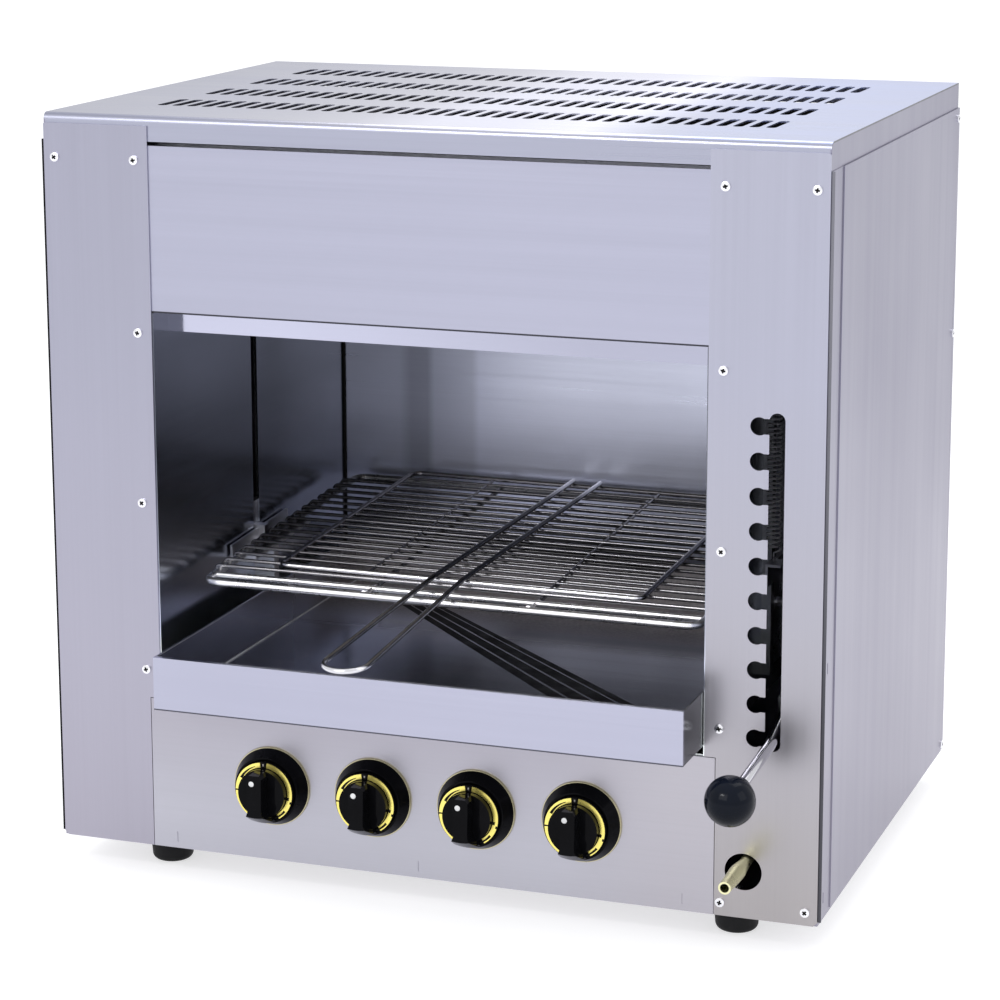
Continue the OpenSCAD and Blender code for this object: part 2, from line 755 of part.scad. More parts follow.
module burner_housings() {
    wall = housing_t;
    color("darkslategray") for (x = burner_x) translate([x, burner_y, housing_z]) difference() {
        translate([-burner_w / 2, -burner_l / 2, 0]) cube([burner_w, burner_l, burner_h]);
        translate([-burner_w / 2 + wall, -burner_l / 2 + wall, -1])
            cube([burner_w - 2 * wall, burner_l - 2 * wall, burner_h - wall + 1]);
        translate([0, mixer_y + 60 - burner_y, 0]) cylinder(h = burner_h + 5, d = mixer_d - 6);
    }
}

plaque_n = 2;
plaque_up = 3;
screen_t = 1.2;

module burner_plaques() {
    inner_l = burner_l - 2 * housing_t;
    inner_w = burner_w - 2 * housing_t;
    plaque_l = (inner_l - plaque_n + 1) / plaque_n;
    color("wheat") for (x = burner_x, j = [0 : plaque_n - 1])
        translate([x - inner_w / 2, burner_y - inner_l / 2 + j * (plaque_l + 1), housing_z + plaque_up])
            cube([inner_w, plaque_l, plaque_t]);
}

module burner_screens() {
    bars = 6;
    rim = 4;
    w = burner_w - 2 * housing_t;
    l = burner_l - 2 * housing_t;
    color("gray") for (x = burner_x) translate([x - w / 2, burner_y - l / 2, housing_z + plaque_up - screen_t]) {
        difference() {
            cube([w, l, screen_t]);
            translate([rim, rim, -1]) cube([w - 2 * rim, l - 2 * rim, 4]);
        }
        for (i = [1 : bars]) translate([0, i * l / (bars + 1) - 0.75, 0]) cube([w, 1.5, screen_t]);
    }
}

module mixing_tubes() {
    tube_l = 80;
    wall = 2;
    z1 = housing_z + burner_h;
    color("darkgray") for (x = burner_x) difference() {
        union() {
            rod_y(x, mixer_y, mixer_y + tube_l, mixer_z, mixer_d);
            rod_z(x, mixer_y + 60, z1, mixer_z, mixer_d - 4);
        }
        rod_y(x, mixer_y - 1, mixer_y + tube_l - wall, mixer_z, mixer_d - 2 * wall);
        rod_z(x, mixer_y + 60, z1 - 1, mixer_z, mixer_d - 4 - 2 * wall);
    }
}

injector_l = 18;

module injectors() {
    color("goldenrod") for (x = burner_x) difference() {
        union() {
            rod_y(x, mixer_y - 10, mixer_y - 10 + injector_l, mixer_z, 10);
            rod_y(x, mixer_y - 5, mixer_y, mixer_z, mixer_d - 2);
            rod_y(x, mixer_y, mixer_y + 4, mixer_z, mixer_d - 4 - 2 * run_fit);
        }
        rod_y(x, mixer_y - 11, mixer_y, mixer_z, pipe_d + 2 * run_fit);
        rod_y(x, mixer_y - 1, mixer_y + injector_l, mixer_z, 1.6);
    }
}

module feed_pipes() {
    color("peru") for (i = [0 : burner_count - 1]) {
        col = -(pipe_col_x + pipe_col_pitch * i);
        bent_rod([[knob_x[i], 34, knob_z - valve_h / 2], [knob_x[i], 34, pipe_low_z],
            [knob_x[i], pipe_y[i], pipe_low_z], [col, pipe_y[i], pipe_low_z],
            [col, pipe_y[i], pipe_top_z], [burner_x[i], pipe_y[i], pipe_top_z],
            [burner_x[i], pipe_y[i], mixer_z], [burner_x[i], mixer_y - 4, mixer_z]],
            pipe_d, pipe_bend);
    }
}

module gas_manifold() {
    y0 = manifold_y - manifold_s / 2;
    y1 = manifold_y + manifold_s / 2;
    z0 = knob_z - manifold_s / 2;
    z1 = knob_z + manifold_s / 2;
    color("darkkhaki") block([knob_x[0] - 25, y0, z0], [nipple_x - elbow_half, y1, z1]);
}

module valve_bodies() {
    color("tan") for (x = knob_x) difference() {
        union() {
            block([x - valve_w / 2, valve_y0, knob_z - valve_h / 2], [x + valve_w / 2, valve_y0 + valve_l, knob_z + valve_h / 2]);
            rod_y(x, 0.2, valve_y0, knob_z, neck_d - 0.5);
        }
        rod_y(x, 0, valve_y0 + 14, knob_z, stem_d + 2 * run_fit);
    }
}

elbow_half = 11;
elbow_deep = 12;

module inlet_elbow() {
    color("darkkhaki") difference() {
        block([nipple_x - elbow_half, manifold_y - elbow_deep, nipple_z - elbow_deep],
            [nipple_x + elbow_half, manifold_y + elbow_deep, knob_z + elbow_half]);
        rod_y(nipple_x, 0, manifold_y, nipple_z, nipple_d + 2 * run_fit);
    }
}

nipple_land = 6;

module hose_nipple() {
    root_y = manifold_y - 6;
    collar_y = manifold_y - elbow_deep;
    tip_d = nipple_d * 0.8;
    waist_d = nipple_d * 0.72;
    total = root_y + nipple_out;
    color("darkkhaki") translate([nipple_x, root_y, nipple_z]) rotate([90, 0, 0]) difference() {
        union() {
            cylinder(h = 7, d = nipple_d);
            translate([0, 0, root_y - collar_y]) cylinder(h = 6, d = 17, $fn = 6);
            rotate_extrude() polygon([[0, 0], [waist_d / 2, 0], [waist_d / 2, total - 52],
                [nipple_d / 2, total - 30 - nipple_land], [nipple_d / 2, total - 30],
                [tip_d / 2, total], [0, total]]);
        }
        translate([0, 0, 4]) cylinder(h = total, d = nipple_bore);
    }
}

// ----------------------------------------------------------------- knobs

module at_knob(i) { translate([knob_x[i], 0, knob_z]) rotate([90, 0, 0]) children(); }

module knob_bezels() {
    rim_h = 2.5;
    well_d = skirt_d + 1;
    color("black") for (i = [0 : burner_count - 1]) at_knob(i) rotate_extrude() polygon([
        [neck_d / 2 + 2, 0], [bezel_d / 2 - 0.8, 0], [bezel_d / 2 - 0.8, rim_h],
        [well_d / 2 + 1.5, bezel_h], [well_d / 2, bezel_h], [well_d / 2, 1.5],
        [neck_d / 2 + 2, 1.5]]);
}

module bezel_rims() {
    color("gold") for (i = [0 : burner_count - 1]) at_knob(i) rotate_extrude()
        polygon([[bezel_d / 2 - 0.8, 0], [bezel_d / 2, 0], [bezel_d / 2, 1.4], [bezel_d / 2 - 0.3, 2], [bezel_d / 2 - 0.8, 2]]);
}

stem_front = body_y + 1;
hub_back = knob_push + 1;

module d_shape(d) {
    intersection() {
        circle(d = d);
        translate([-d, -d]) square([2 * d, d + d * 0.3]);
    }
}

module valve_stem(i) {
    color("silver") at_knob(i) {
        translate([0, 0, -valve_y0 - 12]) cylinder(h = valve_y0 + 12, d = stem_d);
        linear_extrude(stem_front) d_shape(stem_d);
    }
}

grip_top_w = 12;
grip_foot_w = 18;
grip_foot_r = skirt_d / 2 + 0.2;
grip_reach = knob_d / 2 + 4 + grip_foot_r;

module grip_outline() {
    polygon([[-grip_top_w / 2, knob_d / 2 - 3], [-grip_top_w / 2 + 2, knob_d / 2 - 0.5],
        [grip_top_w / 2 - 2, knob_d / 2 - 0.5], [grip_top_w / 2, knob_d / 2 - 3],
        [grip_top_w / 2 - 0.5, -knob_d / 2 + 8], [grip_foot_w / 2, -grip_foot_r + 4],
        [grip_foot_w / 2, -grip_foot_r - 1], [-grip_foot_w / 2, -grip_foot_r - 1],
        [-grip_foot_w / 2, -grip_foot_r + 4], [-grip_top_w / 2 + 0.5, -knob_d / 2 + 8]]);
}

module knob(i) {
    color("black") at_knob(i) difference() {
        union() {
            translate([0, 0, skirt_y]) cylinder(h = skirt_t, d = skirt_d);
            translate([0, 0, skirt_y]) cylinder(h = body_y - skirt_y, d = knob_d);
            translate([0, 0, hub_back]) cylinder(h = skirt_y, d = stem_d + 7);
            intersection() {
                translate([0, 0, skirt_y]) linear_extrude(knob_out - skirt_y) grip_outline();
                translate([0, 0, skirt_y]) cylinder(h = knob_out, r = grip_foot_r);
                translate([0, knob_d / 2 + 4, 0]) rotate_extrude() polygon([[0, 0], [grip_reach, 0],
                    [grip_reach, skirt_y + 5], [grip_reach - 9, knob_out], [0, knob_out]]);
            }
        }
        translate([0, 0, hub_back - 1]) linear_extrude(stem_front + knob_push + 2 - hub_back) d_shape(stem_d + 2 * run_fit);
        translate([-2, knob_d / 2 - 7, knob_out - 0.6]) cylinder(h = 2, d = 4.4);
    }
}

module dial_ring(i) {
    gap_top = 7;
    gap_foot = asin((grip_foot_w / 2 + 2 * gap) / (knob_d / 2));
    color("gold") at_knob(i) translate([0, 0, skirt_y + skirt_t]) for (side = [0, 1]) mirror([side, 0, 0])
        rotate([0, 0, -90 + gap_foot]) rotate_extrude(angle = 180 - gap_top - gap_foot)
            translate([knob_d / 2 + gap, 0]) square([(skirt_d - knob_d) / 2 - 2 * gap, ring_t]);
}

// ------------------------------------------------------------- lift gear

// The arms' frame at rest: its -Y runs along an arm, down to the front
module on_arm() { translate([0, shaft_y, shaft_z]) rotate([lift_angle, 0, 0]) children(); }

bearing_l = 14;
bearing_plate = 3;
bearing_half = 22;

module shaft_bearings() {
    color("dimgray") for (side = [-1, 1]) mirrored(side) difference() {
        union() {
            block([inner_half - bearing_plate, shaft_y - bearing_half, shaft_z - bearing_half],
                [inner_half, shaft_y + bearing_half, shaft_z + bearing_half]);
            rod_x(inner_half - bearing_l, inner_half, shaft_y, shaft_z, shaft_d + 10);
        }
        rod_x(inner_half - bearing_l - 1, inner_half + 1, shaft_y, shaft_z, shaft_d + 2 * run_fit);
    }
}

module lift_shaft() {
    end = inner_half - bearing_l + 11;
    color("silver") rod_x(-end, end, shaft_y, shaft_z, shaft_d);
}

module lift_arms() {
    color("gray") for (side = [-1, 1]) mirrored(side) on_arm() difference() {
        union() {
            rod_x(arm_x - 9, arm_x + arm_t / 2, 0, 0, hub_d);
            block([arm_x - arm_t / 2, -arm_slot_out - 6, -arm_h / 2], [arm_x + arm_t / 2, 0, arm_h / 2]);
            rod_x(arm_x - arm_t / 2, arm_x + arm_t / 2, -arm_slot_out - 6, 0, arm_h);
        }
        rod_x(arm_x - 20, arm_x + 20, 0, 0, shaft_d);
        for (y = [arm_slot_in, arm_slot_out])
            rod_x(arm_x - 20, arm_x + 20, -y, 0, pin_d + 2 * pin_clear);
        block([arm_x - 20, -arm_slot_out, -pin_d / 2 - pin_clear], [arm_x + 20, -arm_slot_in, pin_d / 2 + pin_clear]);
    }
}

module lever_clevis() {
    x0 = lever_slot_x - clevis_w / 2;
    x1 = lever_slot_x + clevis_w / 2;
    color("dimgray") on_arm() difference() {
        union() {
            rod_x(x0, x1, 0, 0, hub_d);
            for (z = [eye_h / 2 + seat_gap, -eye_h / 2 - seat_gap - ear_t])
                block([x0, -clevis_dist - 9, z], [x1, 0, z + ear_t]);
        }
        rod_x(x0 - 1, x1 + 1, 0, 0, shaft_d);
        rod_z(lever_slot_x, -clevis_dist, -20, 20, clevis_pin_d);
    }
}

module clevis_pin() {
    reach = eye_h / 2 + seat_gap + ear_t;
    color("silver") on_arm() {
        rod_z(lever_slot_x, -clevis_dist, -reach - 2, reach, clevis_pin_d);
        rod_z(lever_slot_x, -clevis_dist, reach, reach + 2, clevis_pin_d + 3);
    }
}

module lever_bar() {
    color("gray") on_arm() difference() {
        union() {
            rod_z(lever_slot_x, -clevis_dist, -eye_h / 2, eye_h / 2, eye_d);
            block([lever_slot_x - bar_t / 2, -clevis_dist - 16, -eye_h / 2], [lever_slot_x + bar_t / 2, -clevis_dist, eye_h / 2]);
            block([lever_slot_x - bar_t / 2, -bar_end + 1, -bar_h / 2], [lever_slot_x + bar_t / 2, -clevis_dist - 12, bar_h / 2]);
            block([lever_slot_x - socket_s / 2, -bar_end, -socket_s / 2], [lever_slot_x + socket_s / 2, -bar_end + socket_l, socket_s / 2]);
        }
        rod_z(lever_slot_x, -clevis_dist, -20, 20, clevis_pin_d + 2 * run_fit);
        rod_y(lever_slot_x, -bar_end - 1, -bar_end + socket_l - 10, 0, lever_d);
    }
}

bend_y = lever_dist + 6;
ball_at = [lever_slot_x - lever_out * sin(lever_crank), -bend_y - lever_out * cos(lever_crank) + 6, 0];

module lever_rod() {
    along = unit([ball_at[0] - lever_slot_x, ball_at[1] + bend_y, 0]);
    color("white") on_arm()
        bent_rod([[lever_slot_x, -bar_end + socket_l - 10, 0], [lever_slot_x, -bend_y, 0], ball_at - along * 2], lever_d, 30);
}

module lever_ball() {
    along = unit([ball_at[0] - lever_slot_x, ball_at[1] + bend_y, 0]);
    color("black") on_arm() difference() {
        union() {
            translate(ball_at) sphere(d = ball_d);
            rod(ball_at - along * (ball_d / 2 + 2), ball_at, lever_d + 6);
        }
        rod(ball_at - along * (ball_d / 2 + 5), ball_at - along * 2, lever_d);
    }
}

module carrier_guides() {
    inner = cavity_half + sheet;
    wall_y = plate_half_y + seat_gap;
    color("silver") for (side = [-1, 1]) mirrored(side) for (s = [-1, 1]) translate([0, slot_y, 0]) {
        y0 = s > 0 ? wall_y : -wall_y - guide_t;
        block([inner, y0, guide_lo], [guide_lip_x + guide_t, y0 + guide_t, guide_hi]);
        y1 = s > 0 ? wall_y - 7 : -wall_y - guide_t;
        block([guide_lip_x, y1, guide_lo], [guide_lip_x + guide_t, y1 + 7 + guide_t, guide_hi]);
    }
}

module spring_brackets() {
    color("silver") for (side = [-1, 1]) mirrored(side) difference() {
        union() {
            block([cavity_half + sheet, spring_y - 9, spring_hi], [spring_x + 8, spring_y + 9, spring_hi + bracket_t]);
            block([cavity_half + sheet, spring_y - 9, spring_hi - 14], [cavity_half + sheet + bracket_t, spring_y + 9, spring_hi + bracket_t]);
        }
        rod_z(spring_x, spring_y, spring_hi - 1, spring_hi + 5, 4);
    }
}

module counter_springs() {
    hook = 10;
    wire = 1.4;
    z0 = spring_lo + bracket_t;
    color("lightgray") for (side = [-1, 1]) mirrored(side) {
        difference() {
            rod_z(spring_x, spring_y, z0 + hook, spring_hi - hook, spring_d);
            rod_z(spring_x, spring_y, z0 + hook - 1, spring_hi - hook + 1, spring_d - 2 * wire);
        }
        for (z = [[z0 + seat_gap, z0 + hook + wire], [spring_hi - hook - wire, spring_hi - seat_gap]]) {
            rod_z(spring_x, spring_y, z[0], z[1], wire * 2);
        }
        for (z = [z0 + hook, spring_hi - hook - wire])
            block([spring_x - spring_d / 2 + wire / 2, spring_y - wire, z], [spring_x + spring_d / 2 - wire / 2, spring_y + wire, z + wire]);
    }
}

module on_rack() { translate([0, rack_setback, rack_z]) rotate([rack_tilt, 0, 0]) children(); }

module carrier(side) {
    y0 = slot_y - rack_setback;
    x1 = plate_x + plate_t;
    tab_x = guide_lip_x + guide_t + 1.5;
    color("gray") mirrored(side) {
        block([plate_x, slot_y - plate_half_y, plate_lo], [x1, slot_y + plate_half_y, plate_hi]);
        block([rack_w / 2 - rack_rod_d / 2, slot_y - tongue_w / 2, tongue_z], [x1, slot_y + tongue_w / 2, tongue_top]);
        block([rack_w / 2 + rack_rod_d / 2 + 2, slot_y - tongue_w / 2, tongue_z],
            [x1, slot_y + tongue_w / 2, tongue_top + upstand_h]);
        on_rack() {
            block([shelf_x0, y0 - shelf_l / 2, shelf_z - shelf_t], [shelf_x1, y0 + shelf_l / 2, shelf_z]);
            block([shelf_x1 - 2, y0 - shelf_l / 2, shelf_z - shelf_t], [shelf_x1, y0 + shelf_l / 2, shelf_z + 7]);
        }
        rod_x(plate_x, arm_x + arm_t / 2 + 4, slot_y, pin_z, pin_d);
        block([plate_x, slot_y - 14, spring_lo - 16], [tab_x + bracket_t, slot_y + 14, spring_lo]);
        block([tab_x, spring_y - 9, spring_lo - 16], [tab_x + bracket_t, slot_y + 14, spring_lo]);
        block([tab_x, spring_y - 9, spring_lo], [spring_x + 8, spring_y + 9, spring_lo + bracket_t]);
    }
}

// ---------------------------------------------------- rack, grill and tray

module main_rack() {
    x = rack_w / 2 - rack_rod_d / 2;
    r = rack_rod_d / 2;
    color("white") on_rack() {
        rod_frame(-x, x, 0, rack_d, 0, rack_rod_d, rack_corner);
        rod_x(-x, x, rack_second_rail, 0, rack_rod_d - 1);
        for (i = [1 : rack_stiffeners])
            rod_y(-x + i * 2 * x / (rack_stiffeners + 1), 0, rack_d, -0.5, rack_rod_d - 2);
        for (i = [0 : rack_wires])
            rod_x(-x - r - 3, x + r + 3, rack_second_rail + rack_corner + i * rack_wire_pitch, rack_wire_z, rack_wire_d);
    }
}

// The hand grill's frame: origin at the middle of its front rod
module on_grill() {
    translate([grill_shift, grill_setback, rack_z + (grill_setback - rack_setback) * tan(rack_tilt)])
        rotate([rack_tilt, 0, 0]) translate([0, 0, grill_z]) rotate([0, 0, grill_yaw]) children();
}

module hand_grill() {
    x = grill_w / 2 - grill_rod_d / 2;
    n = floor((grill_d - 16) / grill_wire_pitch);
    color("white") on_grill() {
        rod_frame(-x, x, 0, grill_d, 0, grill_rod_d, 8);
        rod_x(-x, x, grill_d * 0.46, 0.4, grill_rod_d - 1);
        for (i = [1 : n]) rod_x(-x, x, i * grill_wire_pitch + 2, 0, grill_wire_d);
        for (s = [-0.5, 0.5]) rod_y(s * x, 0, grill_d, -0.5, grill_wire_d);
    }
}

module grill_handle() {
    g = handle_gap / 2;
    r = handle_loop_w / 2;
    z = grill_rod_d;
    y_end = -handle_start - (handle_l - r) * cos(handle_dip);
    z_end = z - (handle_l - r) * sin(handle_dip);
    color("white") on_grill() translate([handle_shift, grill_d, 0]) rotate([0, 0, handle_skew])
        translate([0, -grill_d, 0]) {
        for (s = [-1, 1]) bent_rod([[s * g, grill_d + 1, z], [s * g, -handle_start, z],
            [s * r, y_end - 0.1, z_end]], grill_rod_d, 40);
        translate([0, y_end, z_end]) rotate([handle_dip, 0, 0]) rotate([0, 0, 180])
            rotate_extrude(angle = 180) translate([r, 0]) circle(d = grill_rod_d - 0.04);
    }
}

module drip_tray() {
    x0 = tray_shift - tray_w / 2;
    x1 = tray_shift + tray_w / 2;
    hem = 4;
    color("silver") {
        difference() {
            block([x0, -tray_front, tray_z], [x1, tray_d - tray_front, tray_z + tray_h]);
            block([x0 + tray_t, -tray_front + tray_t, tray_z + tray_t], [x1 - tray_t, tray_d - tray_front - tray_t, tray_z + tray_h + 1]);
        }
        block([x0, -tray_front, tray_z + tray_h - tray_t], [x1, -tray_front + hem, tray_z + tray_h]);
    }
}

// ------------------------------------------------------------------ nodes

placed() base_pan();
placed() rubber_feet();
placed() foot_studs();
placed() side_wall(-1);  // left_side_wall
placed() side_wall(1);  // right_side_wall
placed() access_panels();
placed() rear_panel();
placed() top_cover();
placed() hood_front_panel();
placed() left_pillar_cover();
placed() right_pillar_cover();
placed() control_panel();
placed() liner(-1);  // left_liner
placed() liner(1);  // right_liner
placed() back_liner();
placed() heat_shield();
placed() tray_runners();
placed() burner_box();
placed() burner_housings();
placed() burner_plaques();
placed() burner_screens();
placed() mixing_tubes();
placed() injectors();
placed() feed_pipes();
placed() gas_manifold();
placed() valve_bodies();
placed() inlet_elbow();
placed() hose_nipple();
placed() knob_bezels();
placed() bezel_rims();
placed() carrier_guides();
placed() spring_brackets();
placed() counter_springs();
placed() shaft_bearings();
placed() panel_screws();
placed() drip_tray();
placed() lift_shaft();
placed() lift_arms();
placed() lever_clevis();
placed() clevis_pin();
placed() lever_bar();
placed() lever_rod();
placed() lever_ball();
placed() carrier(-1);  // left_carrier
placed() carrier(1);  // right_carrier
placed() main_rack();
placed() hand_grill();
placed() grill_handle();
placed() valve_stem(0);  // valve_stem_1
placed() knob(0);  // knob_1
placed() dial_ring(0);  // dial_ring_1
placed() valve_stem(1);  // valve_stem_2
placed() knob(1);  // knob_2
placed() dial_ring(1);  // dial_ring_2
placed() valve_stem(2);  // valve_stem_3
placed() knob(2);  // knob_3
placed() dial_ring(2);  // dial_ring_3
placed() valve_stem(3);  // valve_stem_4
placed() knob(3);  // knob_4
placed() dial_ring(3);  // dial_ring_4
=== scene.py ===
import bpy, bmesh, math
from mathutils import Matrix, Vector


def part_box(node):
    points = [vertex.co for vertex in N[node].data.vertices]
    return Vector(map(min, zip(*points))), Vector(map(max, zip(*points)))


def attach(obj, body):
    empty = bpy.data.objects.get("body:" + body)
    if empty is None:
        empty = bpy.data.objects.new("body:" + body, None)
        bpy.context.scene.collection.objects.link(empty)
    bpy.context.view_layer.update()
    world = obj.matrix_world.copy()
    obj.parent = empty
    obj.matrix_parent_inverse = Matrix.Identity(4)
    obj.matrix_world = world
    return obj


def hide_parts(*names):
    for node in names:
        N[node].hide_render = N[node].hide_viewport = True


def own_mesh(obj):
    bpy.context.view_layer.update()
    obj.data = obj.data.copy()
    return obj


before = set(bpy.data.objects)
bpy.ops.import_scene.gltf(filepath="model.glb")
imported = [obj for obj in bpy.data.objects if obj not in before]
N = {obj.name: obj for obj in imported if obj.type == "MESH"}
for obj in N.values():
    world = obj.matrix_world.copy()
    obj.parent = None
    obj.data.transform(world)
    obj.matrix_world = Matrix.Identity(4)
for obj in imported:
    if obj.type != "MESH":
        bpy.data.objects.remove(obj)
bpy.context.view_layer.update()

scene = bpy.context.scene
X, Y, Z = 0, 1, 2
# The front of the pillars, in metres in the frame's axes.
Y0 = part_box("left_pillar_cover")[0].y

# ---------------------------------------------------------------- camera
# The camera's own right, down and forward, and the place of its eye.
RIGHT = Vector((0.9413929302, 0.3373036418, -0.0023673023))
DOWN = Vector((0.0652928078, -0.1891044869, -0.9797838243))
AHEAD = Vector((-0.3309323196, 0.9222069975, -0.2000451289))
EYE = Vector((0.7931777, Y0 - 2.0421579, 0.8367395))

cam = bpy.data.objects.new("camera", bpy.data.cameras.new("camera"))
scene.collection.objects.link(cam)
cam.matrix_world = (Matrix.Translation(EYE)
                    @ Matrix((RIGHT, -DOWN, -AHEAD)).transposed().to_4x4())
cam.data.sensor_width = 36
cam.data.lens = 111.25
cam.data.shift_y = -0.1
cam.data.clip_start = 0.05
cam.data.clip_end = 60
scene.camera = cam
scene.view_settings.view_transform = "Standard"


# ---------------------------------------------------------------- node trees
class Net:
    """A material's node tree, with the few steps that the materials below need."""

    def __init__(self, name):
        self.mat = bpy.data.materials.new(name)
        self.mat.use_nodes = True
        self.tree = self.mat.node_tree
        self.tree.nodes.clear()
        self.out = self.add("ShaderNodeOutputMaterial")
        self.bsdf = self.add("ShaderNodeBsdfPrincipled")
        self.link(self.bsdf.outputs[0], self.out.inputs["Surface"])
        self.coord = self.add("ShaderNodeTexCoord").outputs["Object"]

    def add(self, kind, **props):
        node = self.tree.nodes.new(kind)
        for key, value in props.items():
            setattr(node, key, value)
        return node

    def link(self, a, b):
        self.tree.links.new(a, b)

    def noise(self, scale, stretch=(1, 1, 1), detail=3.0, rough=0.6, offset=(0, 0, 0)):
        place = self.add("ShaderNodeMapping")
        place.inputs["Scale"].default_value = stretch
        place.inputs["Location"].default_value = offset
        self.link(self.coord, place.inputs["Vector"])
        tex = self.add("ShaderNodeTexNoise")
        tex.inputs["Scale"].default_value = scale
        tex.inputs["Detail"].default_value = detail
        tex.inputs["Roughness"].default_value = rough
        self.link(place.outputs[0], tex.inputs["Vector"])
        return tex.outputs["Fac"]

    def span(self, fac, low, high, start=0.3, end=0.7):
        """low where fac is start or less, high where it is end or more."""
        node = self.add("ShaderNodeMapRange")
        node.inputs["From Min"].default_value = start
        node.inputs["From Max"].default_value = end
        node.inputs["To Min"].default_value = low
        node.inputs["To Max"].default_value = high
        self.link(fac, node.inputs["Value"])
        return node.outputs[0]

    def math(self, op, a, b):
        node = self.add("ShaderNodeMath", operation=op)
        for i, v in enumerate((a, b)):
            if isinstance(v, (int, float)):
                node.inputs[i].default_value = v
            else:
                self.link(v, node.inputs[i])
        return node.outputs[0]

    def mix(self, fac, a, b):
        """Colour a where fac is 0, colour b where it is 1."""
        node = self.add("ShaderNodeMix", data_type="RGBA")
        sockets = [s for s in node.inputs if s.enabled]
        for s, v in zip(sockets, (fac, a, b)):
            if isinstance(v, tuple):
                s.default_value = (*v, 1)
            else:
                self.link(v, s)
        return [s for s in node.outputs if s.enabled][0]

    def scaled(self, rgb, fac):
        node = self.add("ShaderNodeVectorMath", operation="SCALE")
        if isinstance(rgb, tuple):
            node.inputs[0].default_value = rgb
        else:
            self.link(rgb, node.inputs[0])
        self.link(fac, node.inputs["Scale"])
        return node.outputs[0]

    def axis(self, i):
        """The place along one of the frame's axes, in metres."""
        node = self.add("ShaderNodeSeparateXYZ")
        self.link(self.coord, node.inputs[0])
        return node.outputs[i]

    def along(self, i, start, end, low, high):
        """A tone that goes from low to high between two places along an axis."""
        return self.span(self.axis(i), low, high, start, end)

    def blend(self, i, start, end, before, after):
        """A colour that turns into another between two places along an axis."""
        return self.mix(self.along(i, start, end, 0, 1), before, after)

    def ramp(self, i, start, end, stops):
        """A tone that follows (share, tone) stops between two places along an axis."""
        node = self.add("ShaderNodeValToRGB")
        while len(node.color_ramp.elements) < len(stops):
            node.color_ramp.elements.new(0.5)
        for stop, (at, tone) in zip(node.color_ramp.elements, stops):
            stop.position = at
            stop.color = (tone, tone, tone, 1)
        self.link(self.along(i, start, end, 0, 1), node.inputs[0])
        return node.outputs[0]

    def bump(self, height, strength, distance):
        node = self.add("ShaderNodeBump")
        node.inputs["Strength"].default_value = strength
        node.inputs["Distance"].default_value = distance
        self.link(height, node.inputs["Height"])
        self.link(node.outputs[0], self.bsdf.inputs["Normal"])

    def set(self, **values):
        for key, value in values.items():
            socket = self.bsdf.inputs[key.replace("_", " ")]
            if isinstance(value, (int, float)):
                socket.default_value = value
            else:
                self.link(value, socket)
        return self.mat


def tint(rgb, k):
    return tuple(min(1.0, c * k) for c in rgb)


# ---------------------------------------------------------------- kinds of surface
def brushed(name, rgb, rough, along, seed=0.0, streak=0.03, mottle=0.05, bump=0.03,
            shade=None, dull=None):
    """Brushed sheet: fine streaks along one axis, with broad cloudy wear over them."""
    net = Net(name)
    base = shade(net, rgb) if shade else rgb
    fine = {"x": (3, 700, 700), "y": (700, 3, 700), "z": (700, 700, 3)}[along]
    wide = {"x": (1.2, 60, 60), "y": (60, 1.2, 60), "z": (60, 60, 1.2)}[along]
    grain = net.noise(1.0, fine, offset=(seed, seed, seed))
    band = net.noise(1.0, wide, 2.0, 0.5, (seed + 3, seed, seed))
    cloud = net.noise(3.2, rough=0.5, offset=(seed, seed + 7, seed))
    both = net.math("ADD", net.math("MULTIPLY", grain, 0.55), net.math("MULTIPLY", band, 0.45))
    tone = net.math("MULTIPLY", net.span(both, 1 - streak, 1 + streak),
                    net.span(cloud, 1, 1 - mottle * 0.5))
    rough_map = net.math("ADD", net.span(both, rough - 0.05, rough + 0.05),
                         net.span(cloud, -0.04, 0.05))
    if dull:
        rough_map = net.math("ADD", rough_map, dull(net))
    net.bump(grain, bump, 0.0004)
    return net.set(Base_Color=net.scaled(base, tone), Metallic=1.0, Roughness=rough_map)


def smooth_metal(name, rgb, rough, scale=60, shade=None):
    net = Net(name)
    base = shade(net, rgb) if shade else rgb
    spots = net.noise(scale, detail=4.0)
    net.bump(spots, 0.04, 0.0003)
    return net.set(Base_Color=net.scaled(base, net.span(spots, 0.95, 1.025)), Metallic=1.0,
                   Roughness=net.span(spots, rough * 0.75, rough * 1.3))


def moulded(name, rgb, rough, grit=900, depth=0.05, shine=0.5):
    net = Net(name)
    skin = net.noise(grit)
    dust = net.noise(45)
    colour = net.mix(net.span(dust, 0, 1), tint(rgb, 0.85), tint(rgb, 1.25))
    net.bump(skin, depth, 0.0003)
    return net.set(Base_Color=colour, Metallic=0.0, Specular_IOR_Level=shine,
                   Roughness=net.span(dust, rough * 0.8, rough * 1.25))


# ---------------------------------------------------------------- tones over one surface
# Each takes the net and the surface's colour, and gives that colour as it changes from
# place to place. Places are in metres.
STEEL = (0.42, 0.425, 0.53)
# SIDE is the casing steel darkened for the side walls and panels: painted shade. SIDE_LOW is
# their tone at the foot: painted reflection.
SIDE, SIDE_LOW = (0.275, 0.268, 0.345), (0.309, 0.296, 0.362)


def foot_reflection(low):
    """Painted reflection: steel that turns to another tone towards the foot of the casing."""
    return lambda net, rgb: net.blend(Z, 0.04, 0.42, low, rgb)


